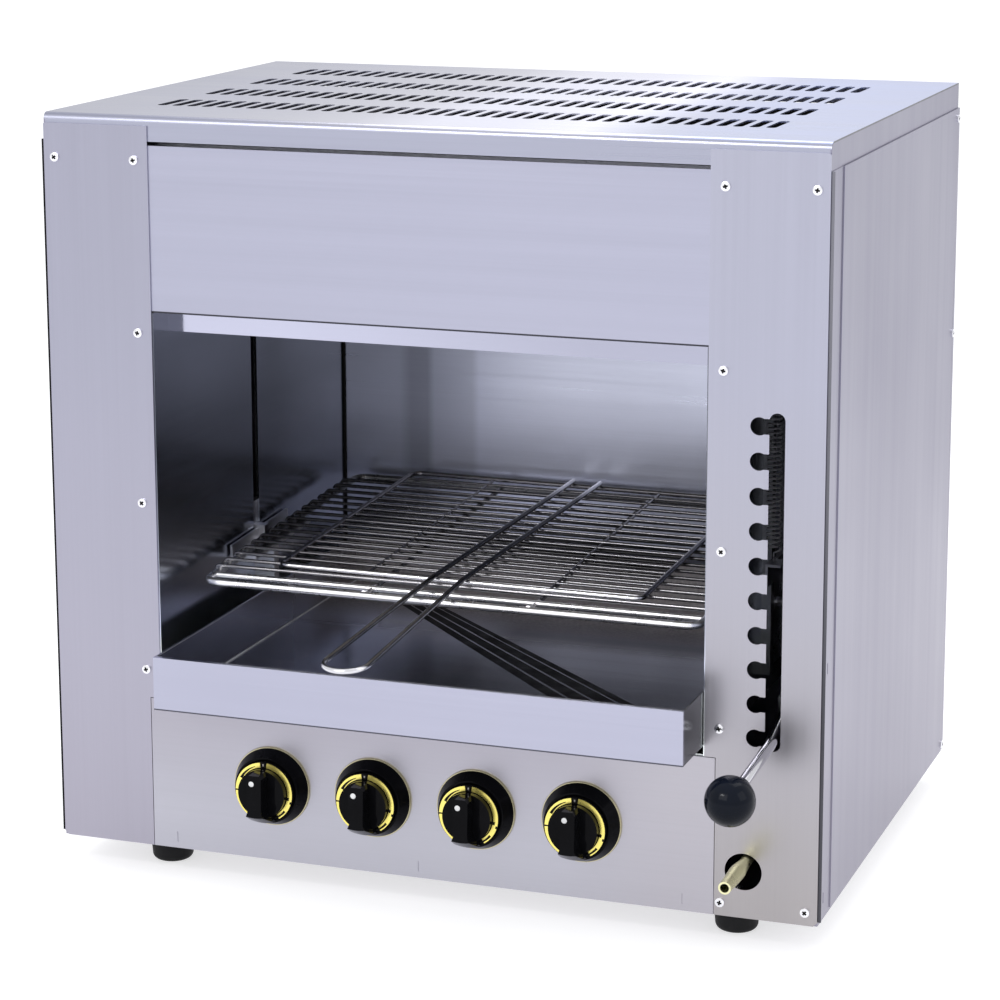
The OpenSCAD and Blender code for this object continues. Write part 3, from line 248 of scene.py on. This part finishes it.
def top_reflection(net, rgb):
    """Painted reflection on the slotted top: lilac at its left, brightest right of the middle,
    bluish at its right.
    """
    lilac, plain, bluish = (0.81, 0.834, 1.07), (0.859, 0.867, 1.02), (0.68, 0.745, 1.07)
    flat = net.blend(X, -0.2, -0.08, lilac, net.blend(X, 0.12, 0.2, plain, bluish))
    flat = net.scaled(flat, net.ramp(X, -0.3, 0.3, [
        (0.0, 0.378), (0.15, 0.422), (0.3, 0.478), (0.4, 0.567), (0.5, 0.8), (0.6, 0.844),
        (0.69, 1.0), (0.78, 0.689), (1.0, 0.656)]))
    with_flange = net.blend(Z, 0.5858, 0.5868, rgb, flat)
    # The top's side edges are drawn as a dark line.
    dark_side_line = net.span(net.math("ABSOLUTE", net.axis(X), 0), 0, 1, 0.29985, 0.29995)
    return net.mix(dark_side_line, with_flange, (0.07, 0.07, 0.09))


def panel_reflection(net, rgb):
    """Painted reflection: the control panel is paler towards its foot and its right."""
    low = net.blend(Z, 0.06, 0.14, (0.455, 0.452, 0.51), rgb)
    return net.blend(X, 0.1, 0.19, low, (0.445, 0.43, 0.475))


def hood_shadow_line(net, rgb):
    """A painted shadow line along the foot of the hood."""
    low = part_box("hood_front_panel")[0].z
    return net.blend(Z, low + 0.0011, low + 0.0014, (0.05, 0.05, 0.06), rgb)


def front_edge_shade(net, rgb):
    """The folded front edge of the side panels is painted black as shade, and painted light
    turns it grey at the upper right.
    """
    lit_upper_right = net.math("MULTIPLY", net.along(X, 0, 0.1, 0, 1), net.along(Z, 0.2, 0.5, 0.35, 1))
    edge = net.mix(lit_upper_right, (0.012, 0.012, 0.014), (0.2, 0.2, 0.23))
    return net.blend(Y, Y0 + 0.0016, Y0 + 0.0018, edge, foot_reflection(SIDE_LOW)(net, rgb))


def inner_shade(net, rgb):
    """Painted shade: the rear panel is dark on its inner face, inside the casing."""
    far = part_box("rear_panel")[1].y
    return net.blend(Y, far - 0.0006, far - 0.0004, (0.03, 0.03, 0.03), rgb)


def reflection_bands(net, rgb):
    """Upright bands of painted reflection on the back of the cavity, paler near its foot."""
    band = net.ramp(X, -0.214, 0.214, [
        (0.0, 0.70), (0.12, 0.66), (0.145, 0.47), (0.18, 0.47), (0.195, 0.68), (0.275, 0.73),
        (0.29, 0.92), (0.7, 0.94)])
    return net.scaled(rgb, net.math("MULTIPLY", band, net.along(Z, 0.27, 0.33, 1.2, 1)))


def liner_reflection(net, rgb):
    """Painted reflection: the side liners are paler towards the tray."""
    return net.scaled(rgb, net.math("MULTIPLY", net.along(Z, 0.185, 0.235, 4, 1.6),
                                    net.along(Z, 0.235, 0.34, 1, 0.37)))


def box_tone(net, rgb):
    """The burner box is darker towards its right."""
    return net.scaled(rgb, net.along(X, -0.12, 0.12, 1.15, 0.9))


def tray_bake_and_shade(net, rgb):
    """The tray's floor is darker than its front, with painted shade at its left edge and,
    deeper, over its right, and a painted shadow along the foot of its front; its rear is baked
    and speckled.
    """
    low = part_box("drip_tray")[0]
    # Painted shade: the floor darkens at its left edge and much more towards its right.
    inside = net.scaled(rgb, net.math("MULTIPLY", net.along(X, -0.185, -0.13, 0.75, 1.15),
                                      net.along(X, -0.10, -0.01, 1, 0.165)))
    inside = net.scaled(inside, net.along(Y, Y0 + 0.15, Y0 + 0.24, 1, 1.6))
    baked = net.scaled((0.46, 0.435, 0.45), net.span(net.noise(420, rough=0.7), 0.75, 1.25))
    inside = net.blend(Y, Y0 + 0.235, Y0 + 0.285, inside, baked)
    # Painted shadow along the foot of the tray's front.
    front = net.scaled(STEEL, net.along(Z, low.z + 0.0009, low.z + 0.0012, 0.2, 1))
    return net.blend(Y, low.y + 0.0015, low.y + 0.004, front, inside)


def baked_rear(net):
    """What the baked rear of the tray adds to its roughness."""
    return net.along(Y, Y0 + 0.20, Y0 + 0.27, 0, 0.4)


def darker_rearward(net, rgb):
    """Wires under the burners are drawn darker towards the rear."""
    return net.scaled(rgb, net.along(Y, Y0 + 0.06, Y0 + 0.15, 1, 0.16))


# Painted highlight: the grill's front rod is bright.
def front_rod_highlight(net, rgb):
    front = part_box("hand_grill")[0].y
    return net.blend(Y, front + 0.004, front + 0.008, (0.86, 0.86, 0.90), rgb)


def handle_light_and_shade(net, rgb):
    """Painted light and shade: the handle is bright at its loop and at its rear ends, dark
    between.
    """
    lo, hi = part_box("grill_handle")
    fore = net.blend(Y, lo.y + 0.10, lo.y + 0.19, (0.68, 0.68, 0.72), rgb)
    return net.blend(Y, hi.y - 0.06, hi.y - 0.03, fore, (0.75, 0.75, 0.78))


# ---------------------------------------------------------------- materials
M = {
    "front": brushed("casing_front", STEEL, 0.34, "x", shade=foot_reflection((0.395, 0.38, 0.435))),
    "hood": brushed("hood_steel", STEEL, 0.34, "x", 2, shade=hood_shadow_line),
    # The left pillar is a darker copy of the casing steel: painted shade.
    "left": brushed("left_pillar_steel_shaded", (0.37, 0.37, 0.455), 0.34, "z", 4,
                    shade=foot_reflection((0.385, 0.37, 0.44))),
    "right": brushed("right_pillar_steel", (0.41, 0.415, 0.505), 0.34, "z", 5,
                     shade=foot_reflection((0.385, 0.365, 0.375))),
    "control": brushed("control_steel", (0.385, 0.37, 0.425), 0.34, "x", 6, shade=panel_reflection),
    "rear": brushed("casing_rear", STEEL, 0.34, "x", 7, shade=inner_shade),
    "side": brushed("casing_side", SIDE, 0.36, "z", 8, shade=foot_reflection(SIDE_LOW)),
    "panel": brushed("side_panel", SIDE, 0.36, "z", 9, shade=front_edge_shade),
    "top": brushed("casing_top", (0.39, 0.40, 0.495), 0.3, "x", 11, shade=top_reflection),
    "cavity_x": brushed("cavity_back", (0.60, 0.62, 0.75), 0.31, "x", 15, 0.04, 0.10, 0.02,
                        shade=reflection_bands),
    "cavity_y": brushed("cavity_side", (0.245, 0.258, 0.305), 0.2, "y", 18, 0.03, 0.08, 0.01,
                        shade=liner_reflection),
    "box": brushed("burner_box_steel", tint(STEEL, 1.05), 0.09, "x", 19, 0.02, 0.04, 0.01,
                   shade=box_tone),
    "tray": brushed("tray_steel", (0.50, 0.51, 0.59), 0.2, "x", 21, 0.03, 0.08, 0.02,
                    shade=tray_bake_and_shade, dull=baked_rear),
    "lift": brushed("lift_steel", (0.36, 0.37, 0.40), 0.4, "z", 24, 0.06, 0.07, 0.05),
    "carrier": brushed("carrier_steel", (0.68, 0.68, 0.72), 0.3, "x", 27, 0.03, 0.07, 0.05),
    "rail": smooth_metal("rack_rail", (0.94, 0.94, 0.97), 0.28, shade=darker_rearward),
    "wire": smooth_metal("rack_wire", (0.46, 0.45, 0.47), 0.24, shade=darker_rearward),
    "grill": smooth_metal("grill_wire", (0.20, 0.195, 0.21), 0.2, shade=front_rod_highlight),
    "handle": smooth_metal("handle_wire", (0.13, 0.13, 0.14), 0.2, shade=handle_light_and_shade),
    "chrome": smooth_metal("lever_chrome", (0.62, 0.62, 0.66), 0.12),
    "screw": smooth_metal("screw_steel", (0.86, 0.86, 0.90), 0.22, 400),
    "gold": smooth_metal("gold_trim", (0.95, 0.82, 0.22), 0.3, 90),
    "rim": smooth_metal("rim_trim", (0.60, 0.55, 0.36), 0.35, 90),
    "brass": smooth_metal("brass", (0.80, 0.78, 0.48), 0.3, 120),
    "silver": smooth_metal("silver_mark", (0.5, 0.48, 0.46), 0.3, 300),
    "aluminium": smooth_metal("gas_aluminium", (0.2, 0.2, 0.21), 0.35),
    # Pale, for the painted highlights along the tray's folds.
    "fold": moulded("tray_bend_highlight", (0.62, 0.62, 0.66), 0.35),
    # Flat black for the dark streaks on the tray's floor.
    "burnt": moulded("tray_streaks", (0.006, 0.006, 0.007), 0.5, shine=0.1),
    "spring": moulded("spring_wire", (0.72, 0.72, 0.75), 0.25, 200, shine=0.8),
    "black": moulded("black_plastic", (0.004, 0.004, 0.005), 0.09, depth=0.02, shine=0.05),
    "ball": moulded("ball_plastic", (0.004, 0.006, 0.012), 0.13, depth=0.02, shine=0.11),
    "rubber": moulded("foot_rubber", (0.012, 0.012, 0.013), 0.6, depth=0.15, shine=0.2),
    "iron": moulded("burner_iron", (0.05, 0.05, 0.055), 0.7, 500, 0.4),
    "ceramic": moulded("burner_ceramic", (0.62, 0.55, 0.44), 0.8, 500, 0.3),
    "white": moulded("white_mark", (0.85, 0.85, 0.86), 0.4),
    "recess": moulded("screw_recess", (0.008, 0.008, 0.008), 0.6, shine=0.1),
}
# The material of a node by its name, and otherwise by its slot.
BY_NODE = {
    "left_pillar_cover": "left", "right_pillar_cover": "right", "hood_front_panel": "hood",
    "control_panel": "control", "top_cover": "top", "rear_panel": "rear",
    "left_side_wall": "side", "right_side_wall": "side", "access_panels": "panel",
    "back_liner": "cavity_x", "burner_box": "box", "left_carrier": "carrier",
    "right_carrier": "carrier", "hand_grill": "grill", "grill_handle": "handle",
    "lever_ball": "ball", "bezel_rims": "rim",
}
BY_SLOT = {
    "casing_steel": "front", "cavity_steel": "cavity_y", "tray_steel": "tray",
    "lift_steel": "lift", "bright_wire": "wire", "lever_chrome": "chrome",
    "screw_steel": "screw", "spring_steel": "spring", "black_plastic": "black",
    "gold_trim": "gold", "foot_rubber": "rubber", "brass": "brass", "burner_iron": "iron",
    "burner_ceramic": "ceramic", "gas_aluminium": "aluminium",
}
for name, obj in N.items():
    for s in obj.material_slots:
        slot = s.material.name.split(".")[0] if s.material else ""
        s.material = M[BY_NODE.get(name, BY_SLOT.get(slot, "front"))]

# ---------------------------------------------------------------- floor, world, lights
FLOOR_HALF, FLOOR_GLOW = 14, 0.62
WORLD_SEEN, WORLD_LIGHT = 1.0, 0.95

floor = bpy.data.objects.new("floor", bpy.data.meshes.new("floor"))
bm = bmesh.new()
bmesh.ops.create_grid(bm, x_segments=1, y_segments=1, size=FLOOR_HALF)
bm.to_mesh(floor.data)
bm.free()
scene.collection.objects.link(floor)


def seen_or_not(tree, seen, unseen):
    """One shader for camera, glossy and transmission rays, another for the rest."""
    path = tree.nodes.new("ShaderNodeLightPath")
    fac = path.outputs["Is Camera Ray"]
    for other in ("Is Glossy Ray", "Is Transmission Ray"):
        top = tree.nodes.new("ShaderNodeMath")
        top.operation = "MAXIMUM"
        tree.links.new(fac, top.inputs[0])
        tree.links.new(path.outputs[other], top.inputs[1])
        fac = top.outputs[0]
    mix = tree.nodes.new("ShaderNodeMixShader")
    tree.links.new(fac, mix.inputs[0])
    tree.links.new(unseen.outputs[0], mix.inputs[1])
    tree.links.new(seen.outputs[0], mix.inputs[2])
    return mix.outputs[0]


def plain(tree, kind, rgb, strength=None):
    """A diffuse or background shader of one colour."""
    node = tree.nodes.new(kind)
    node.inputs[0].default_value = (*rgb, 1)
    if strength is not None:
        node.inputs[1].default_value = strength
    return node


paint = bpy.data.materials.new("floor")
paint.use_nodes = True
tree = paint.node_tree
tree.nodes.clear()
glow = tree.nodes.new("ShaderNodeEmission")
glow.inputs[1].default_value = FLOOR_GLOW
lit = tree.nodes.new("ShaderNodeAddShader")
tree.links.new(glow.outputs[0], lit.inputs[0])
tree.links.new(plain(tree, "ShaderNodeBsdfDiffuse", (0.55, 0.55, 0.56)).outputs[0],
               lit.inputs[1])
unlit = plain(tree, "ShaderNodeBsdfDiffuse", (0.6, 0.6, 0.61))
tree.links.new(seen_or_not(tree, lit, unlit),
               tree.nodes.new("ShaderNodeOutputMaterial").inputs[0])
floor.data.materials.append(paint)

world = bpy.data.worlds.new("studio")
scene.world = world
world.use_nodes = True
tree = world.node_tree
tree.nodes.clear()
white = plain(tree, "ShaderNodeBackground", (1, 1, 1), WORLD_SEEN)
dim = plain(tree, "ShaderNodeBackground", (0.97, 0.98, 1), WORLD_LIGHT)
tree.links.new(seen_or_not(tree, white, dim),
               tree.nodes.new("ShaderNodeOutputWorld").inputs[0])

# Each lamp's place, what it points at, its two sides and its watts.
LAMPS = {
    "key": ((-0.7, -2.6, 1.8), (0, 0, 0.3), (2.0, 1.4), 17),
    "over": ((0.2, 0.9, 2.4), (0, 0.1, 0.5), (2.4, 1.6), 22),
    "side": ((2.6, -0.6, 1.5), (0, 0, 0.3), (1.6, 1.6), 8),
    "strip": ((-0.45, -1.5, 1.3), (0, -0.15, 0.08), (0.5, 0.07), 4),
}
for name, (at, to, sides, watts) in LAMPS.items():
    lamp = bpy.data.lights.new(name, "AREA")
    lamp.shape = "RECTANGLE"
    lamp.size, lamp.size_y = sides
    lamp.energy = watts
    obj = bpy.data.objects.new(name, lamp)
    obj.location = at
    obj.rotation_euler = (Vector(to) - Vector(at)).to_track_quat("-Z", "Y").to_euler()
    scene.collection.objects.link(obj)

# ---------------------------------------------------------------- mesh helpers
# From here on, points are in millimetres from the middle of the front, at the underside of
# the body.
TO_ROW = Matrix.Translation((0, Y0, 0.025)) @ Matrix.Diagonal((0.001, 0.001, 0.001, 1))
FROM_ROW = TO_ROW.inverted()


class Shape:
    """Collects vertices and faces of one piece, with a material number for each face."""

    def __init__(self, place=None):
        self.verts, self.faces, self.mats, self.soft = [], [], [], []
        self.place = place or Matrix.Identity(4)

    def put(self, verts, faces, mat=0, soft=True):
        k = len(self.verts)
        self.verts += [self.place @ Vector(v) for v in verts]
        for f in faces:
            self.faces.append([k + i for i in f])
            self.mats.append(mat)
            self.soft.append(soft)

    def tube(self, points, r, n=10, mat=0, closed=False):
        """A round wire with n sides along a line of points."""
        pts = [Vector(q) for q in points]
        m = len(pts)
        dirs = []
        for i in range(m):
            a = pts[i - 1] if (closed or i > 0) else pts[i]
            b = pts[(i + 1) % m] if (closed or i < m - 1) else pts[i]
            dirs.append((b - a).normalized())
        side = dirs[0].orthogonal().normalized()
        verts = []
        for i in range(m):
            side = (side - dirs[i] * side.dot(dirs[i])).normalized()
            up = dirs[i].cross(side)
            for j in range(n):
                t = 2 * math.pi * j / n
                verts.append(pts[i] + (side * math.cos(t) + up * math.sin(t)) * r)
        faces = []
        for i in range(m if closed else m - 1):
            a, b = i * n, ((i + 1) % m) * n
            for j in range(n):
                k = (j + 1) % n
                faces.append((a + j, a + k, b + k, b + j))
        self.put(verts, faces, mat)
        if not closed:
            self.put(verts[:n], [list(range(n))[::-1]], mat, False)
            self.put(verts[-n:], [list(range(n))], mat, False)

    def lathe(self, profile, n=24):
        """Turns (radius, height) pairs about local z."""
        verts, faces = [], []
        for r, z in profile:
            verts += [(r * math.cos(2 * math.pi * j / n), r * math.sin(2 * math.pi * j / n), z)
                      for j in range(n)]
        for i in range(len(profile) - 1):
            for j in range(n):
                k = (j + 1) % n
                faces.append((i * n + j, i * n + k, (i + 1) * n + k, (i + 1) * n + j))
        self.put(verts, faces)

    def slab(self, outline, z0, z1, mat=0):
        """A flat plate from z0 to z1 over an outline of (x, y) points, anticlockwise."""
        n = len(outline)
        verts = [(x, y, z0) for x, y in outline] + [(x, y, z1) for x, y in outline]
        faces = [list(range(n))[::-1], list(range(n, 2 * n))]
        faces += [(j, (j + 1) % n, n + (j + 1) % n, n + j) for j in range(n)]
        self.put(verts, faces, mat, False)

    def leaf(self, a0, a1, r0, r1, z0, z1, mat=0, taper=1.0):
        """A curved plate between two angles, narrowing to taper of its width at a1."""
        steps = max(4, int(abs(a1 - a0) / 4))
        mid = (r0 + r1) / 2
        outer, inner = [], []
        for k in range(steps + 1):
            t = k / steps
            a = math.radians(a0 + (a1 - a0) * t)
            w = (r1 - r0) / 2 * (1 + (taper - 1) * t)
            outer.append(((mid + w) * math.cos(a), (mid + w) * math.sin(a)))
            inner.append(((mid - w) * math.cos(a), (mid - w) * math.sin(a)))
        self.slab(outer + inner[::-1], z0, z1, mat)

    def done(self, name, mats, body):
        data = bpy.data.meshes.new(name)
        data.from_pydata([TO_ROW @ v for v in self.verts], [], self.faces)
        data.validate()
        for i, poly in enumerate(data.polygons):
            poly.material_index = self.mats[i]
            poly.use_smooth = self.soft[i]
        for m in mats:
            data.materials.append(M[m])
        obj = bpy.data.objects.new(name, data)
        scene.collection.objects.link(obj)
        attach(obj, body)
        return obj


def rounded(points, radius, steps=5, closed=False):
    """A line of points with its corners turned into arcs."""
    pts = [Vector(q) for q in points]
    m = len(pts)
    out = []
    for i in range(m):
        if not closed and i in (0, m - 1):
            out.append(pts[i])
            continue
        a, b, c = pts[i - 1], pts[i], pts[(i + 1) % m]
        u, v = (a - b), (c - b)
        r = min(radius, u.length * 0.49, v.length * 0.49)
        p0, p1 = b + u.normalized() * r, b + v.normalized() * r
        for k in range(steps + 1):
            t = k / steps
            out.append(p0.lerp(b, t).lerp(b.lerp(p1, t), t))
    return out


# ---------------------------------------------------------------- side panels' soft edges
panels = N["access_panels"]
weld = panels.modifiers.new("weld", "WELD")
weld.merge_threshold = 1e-6
edge = panels.modifiers.new("edge", "BEVEL")
edge.width = 0.0006
edge.segments = 2
edge.limit_method = "ANGLE"
edge.angle_limit = math.radians(40)

# ---------------------------------------------------------------- main rack
RACK = Matrix.Translation((0, 45, 201)) @ Matrix.Rotation(math.radians(2.8), 4, "X")
RACK_D, CORNER = 310.0, 12.0
RAIL_X, RAIL_R = 197.0, 3.0
SECOND_Y, SECOND_R = 18.0, 2.5
STIFFENER_R, STIFFENER_Z = 2.0, -0.5
# The cross wires run in pairs, and a small loop at their left end joins each pair.
WIRE_R, WIRE_PITCH, WIRE_ROWS, WIRE_Z = 1.5, 17.0, 16, 3.7
WIRE_END, LOOP_TOP, LOOP_OUT = 203.0, -199.5, -201.6
LOOP_SIDE, LOOP_Z, LOOP_R = 0.6, 0.6, 2.6

rack = Shape(RACK)
rim = [(-RAIL_X, 0, 0), (RAIL_X, 0, 0), (RAIL_X, RACK_D, 0), (-RAIL_X, RACK_D, 0)]
rack.tube(rounded(rim, CORNER, 7, True), RAIL_R, 14, 0, True)
rack.tube([(-RAIL_X, SECOND_Y, 0), (RAIL_X, SECOND_Y, 0)], SECOND_R, 12, 0)
for i in (1, 2):
    x = -RAIL_X + i * RAIL_X * 2 / 3
    line = [(x, 0, 2.2), (x, 5, STIFFENER_Z), (x, RACK_D, STIFFENER_Z)]
    rack.tube(rounded(line, 4), STIFFENER_R, 10, 1)
rows = [SECOND_Y + CORNER + i * WIRE_PITCH for i in range(WIRE_ROWS)]
for a, b in zip(rows[0::2], rows[1::2]):
    line = [(WIRE_END, a, WIRE_Z), (LOOP_TOP, a, WIRE_Z), (LOOP_OUT, a + LOOP_SIDE, LOOP_Z),
            (LOOP_OUT, b - LOOP_SIDE, LOOP_Z), (LOOP_TOP, b, WIRE_Z), (WIRE_END, b, WIRE_Z)]
    rack.tube(rounded(line, LOOP_R), WIRE_R, 10, 1)
rack_piece = rack.done("rack_wires_and_rails", ["rail", "wire"], "rack")
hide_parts("main_rack")

# ---------------------------------------------------------------- tray's folds and streaks
# The pale tubes along the tray's folds and its left rim are painted highlights.
FOLD_IN, FOLD_R = 1.7, 0.65
RIM_IN, RIM_DOWN, RIM_R = 0.75, 0.6, 0.5
FOLD_START = 3
# The dark streaks fan out over the tray's floor, from its rear at the left to its front.
REAR_A, REAR_B = Vector((-129, 283)), Vector((-92, 286))
FORE_A, FORE_B = Vector((75, 72)), Vector((150, 66))
STREAKS = ((0, 0.2), (0.26, 0.5), (0.56, 0.8), (0.85, 1.0))
STREAK_LO, STREAK_HI = 1.0, 1.35

lo, hi = (FROM_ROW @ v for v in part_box("drip_tray"))
folds = Shape()
left, right, rear, low = lo.x + FOLD_IN, hi.x - FOLD_IN, hi.y - FOLD_IN, lo.z + FOLD_IN
folds.tube([(left, lo.y + FOLD_START, low), (left, rear, low), (right, rear, low),
            (right, lo.y + FOLD_START, low)], FOLD_R, 8, 0)
for a, b in STREAKS:
    corners = [FORE_A.lerp(FORE_B, a), FORE_A.lerp(FORE_B, b),
               REAR_A.lerp(REAR_B, b), REAR_A.lerp(REAR_B, a)]
    folds.slab([tuple(c) for c in corners], lo.z + STREAK_LO, lo.z + STREAK_HI, 1)
folds.tube([(lo.x + RIM_IN, lo.y + FOLD_START, hi.z - RIM_DOWN),
            (lo.x + RIM_IN, hi.y - 1, hi.z - RIM_DOWN)], RIM_R, 8, 0)
folds.done("tray_folds_and_streaks", ["fold", "burnt"], "tray")

# ---------------------------------------------------------------- cavity's rear corners
SEAM_X, SEAM_W = 213.9, 1.7
SEAM_FORE, SEAM_REAR = 365.4, 366.9
SEAM_LO, SEAM_HI = 118, 440

seams = Shape()
for side in (-1, 1):
    x0, x1 = sorted((side * SEAM_X, side * SEAM_X - side * SEAM_W))
    seams.slab([(x0, SEAM_FORE), (x1, SEAM_FORE), (x1, SEAM_REAR), (x0, SEAM_REAR)],
               SEAM_LO, SEAM_HI, 0)
seams.done("cavity_seams", ["recess"], "cabinet")

# ---------------------------------------------------------------- springs
SPRING_X, SPRING_Y, SPRING_LO, SPRING_HI = 228.0, 138.5, 229.4, 458.0
COIL_R, COIL_TURNS, COIL_SIDES, COIL_WIRE_R = 5.3, 60, 16, 0.7
# The coil starts this far in from each end, and the wire's end this far.
COIL_IN, WIRE_IN = 10, 0.6

for side, word in ((-1, "left"), (1, "right")):
    x = side * SPRING_X
    z0, z1 = SPRING_LO + COIL_IN, SPRING_HI - COIL_IN
    path = []
    for k in range(COIL_TURNS * COIL_SIDES + 1):
        t = k / (COIL_TURNS * COIL_SIDES)
        a = 2 * math.pi * k / COIL_SIDES
        path.append((x + COIL_R * math.cos(a), SPRING_Y + COIL_R * math.sin(a),
                     z0 + (z1 - z0) * t))
    foot = [(x, SPRING_Y, SPRING_LO + WIRE_IN), (x, SPRING_Y, z0 - 3),
            (x + COIL_R * 0.7, SPRING_Y - 1, z0 - 1)]
    head = [(x + COIL_R * 0.7, SPRING_Y + 1, z1 + 1), (x, SPRING_Y, z1 + 3),
            (x, SPRING_Y, SPRING_HI - WIRE_IN)]
    coil = Shape()
    coil.tube(foot + path + head, COIL_WIRE_R, 6, 0)
    spring = coil.done(word + "_counter_spring", ["spring"], "cabinet")
    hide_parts("counter_springs")
    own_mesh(spring)

# ---------------------------------------------------------------- screw recesses
# A screw is longer than this, and its head is narrower.
SCREW_LONG = 8.5
MID_DEPTH = 250
RECESS_DOWN, RECESS_T = 1.05, 0.3
ARM, HALF = 1.7, 0.75
CROSS = [(HALF, ARM), (-HALF, ARM), (-HALF, HALF), (-ARM, HALF), (-ARM, -HALF),
         (-HALF, -HALF), (-HALF, -ARM), (HALF, -ARM), (HALF, -HALF), (ARM, -HALF),
         (ARM, HALF), (HALF, HALF)]


def separate_boxes(mesh):
    """The corners of the box round each separate solid in a mesh."""
    probe = bmesh.new()
    probe.from_mesh(mesh)
    bmesh.ops.remove_doubles(probe, verts=probe.verts, dist=1e-6)
    seen, boxes = set(), []
    for v in probe.verts:
        if v.index in seen:
            continue
        stack, island = [v], []
        seen.add(v.index)
        while stack:
            w = stack.pop()
            island.append(w.co)
            for e in w.link_edges:
                o = e.other_vert(w)
                if o.index not in seen:
                    seen.add(o.index)
                    stack.append(o)
        boxes.append((Vector([min(c[i] for c in island) for i in range(3)]),
                      Vector([max(c[i] for c in island) for i in range(3)])))
    probe.free()
    return boxes


# A flat black cross in each screw's recess is painted shade.
crosses = Shape()
for box in separate_boxes(N["panel_screws"].data):
    a, b = (FROM_ROW @ corner for corner in box)
    mid = (a + b) / 2
    long_axes = [i for i in range(3) if (b - a)[i] > SCREW_LONG]
    axis = long_axes[0] if long_axes else Y
    if axis == X:
        sign = 1 if mid.x > 0 else -1
    else:
        sign = -1 if axis == Y and mid.y < MID_DEPTH else 1
    tip = mid.copy()
    tip[axis] = (b if sign > 0 else a)[axis] - sign * RECESS_DOWN
    face = Vector((0, 0, 0))
    face[axis] = sign
    # Each front screw was driven home at an angle of its own.
    twist = math.radians(3 * mid.z + mid.x) if axis == Y and sign < 0 else 0.0
    crosses.place = (Matrix.Translation(tip) @ face.to_track_quat("Z", "Y").to_matrix().to_4x4()
                     @ Matrix.Rotation(twist, 4, "Z"))
    crosses.slab(CROSS, 0, RECESS_T, 0)
crosses.done("screw_recess_shade", ["recess"], "cabinet")

# ---------------------------------------------------------------- dials and dots
KNOB_Z, KNOB_PITCH = 59.0, 82.0
RING_IN = 19.3
# From and to angle, inner and outer edge as shares of the ring's width, and taper.
DIAL_MARKS = [
    (152, 109, 0.05, 0.64, 0.2),
    (178.6, 181.4, 0, 1, 1),
    (-6, -13, 0, 0.42, 1),
    (-14, -19, 0.7, 1, 1),
    (-38, -80, 0.32, 0.8, 0.35),
    (85.6, 94.4, 0, 1, 1),
]
INDEX_FROM, INDEX_TO, INDEX_IN = 88.6, 91.4, 1
DOT = [(0.01, 0), (2.4, 0), (2.4, 0.25), (2.1, 0.42), (1.2, 0.52), (0.01, 0.54)]
DOT_X, DOT_UP, DOT_SUNK = -2, 11.75, 0.6

ring_lo, ring_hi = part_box("dial_ring_1")
ring_front = (Y0 - ring_lo.y) * 1000
ring_out = (ring_hi.x - ring_lo.x) * 500
ring_w = ring_out - RING_IN
knob_front = (Y0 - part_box("knob_1")[0].y) * 1000
for i in range(4):
    at = (Matrix.Translation(((i - 1.5) * KNOB_PITCH, 0, KNOB_Z))
          @ Matrix.Rotation(math.pi / 2, 4, "X"))
    marks = Shape(at)
    z0, z1 = ring_front - 0.05, ring_front + 0.12
    for a0, a1, inner, outer, taper in DIAL_MARKS:
        marks.leaf(a0, a1, RING_IN + ring_w * inner, RING_IN + ring_w * outer, z0, z1,
                   taper=taper)
    marks.leaf(INDEX_FROM, INDEX_TO, RING_IN + INDEX_IN, ring_out - INDEX_IN, z0, z1 + 0.05, 1)
    marks.done("dial_marks_%d" % (i + 1), ["recess", "silver"], "control_%d" % (i + 1))
    dot = Shape(at @ Matrix.Translation((DOT_X, DOT_UP, knob_front - DOT_SUNK)))
    dot.lathe(DOT)
    dot.done("knob_dot_%d" % (i + 1), ["white"], "control_%d" % (i + 1))
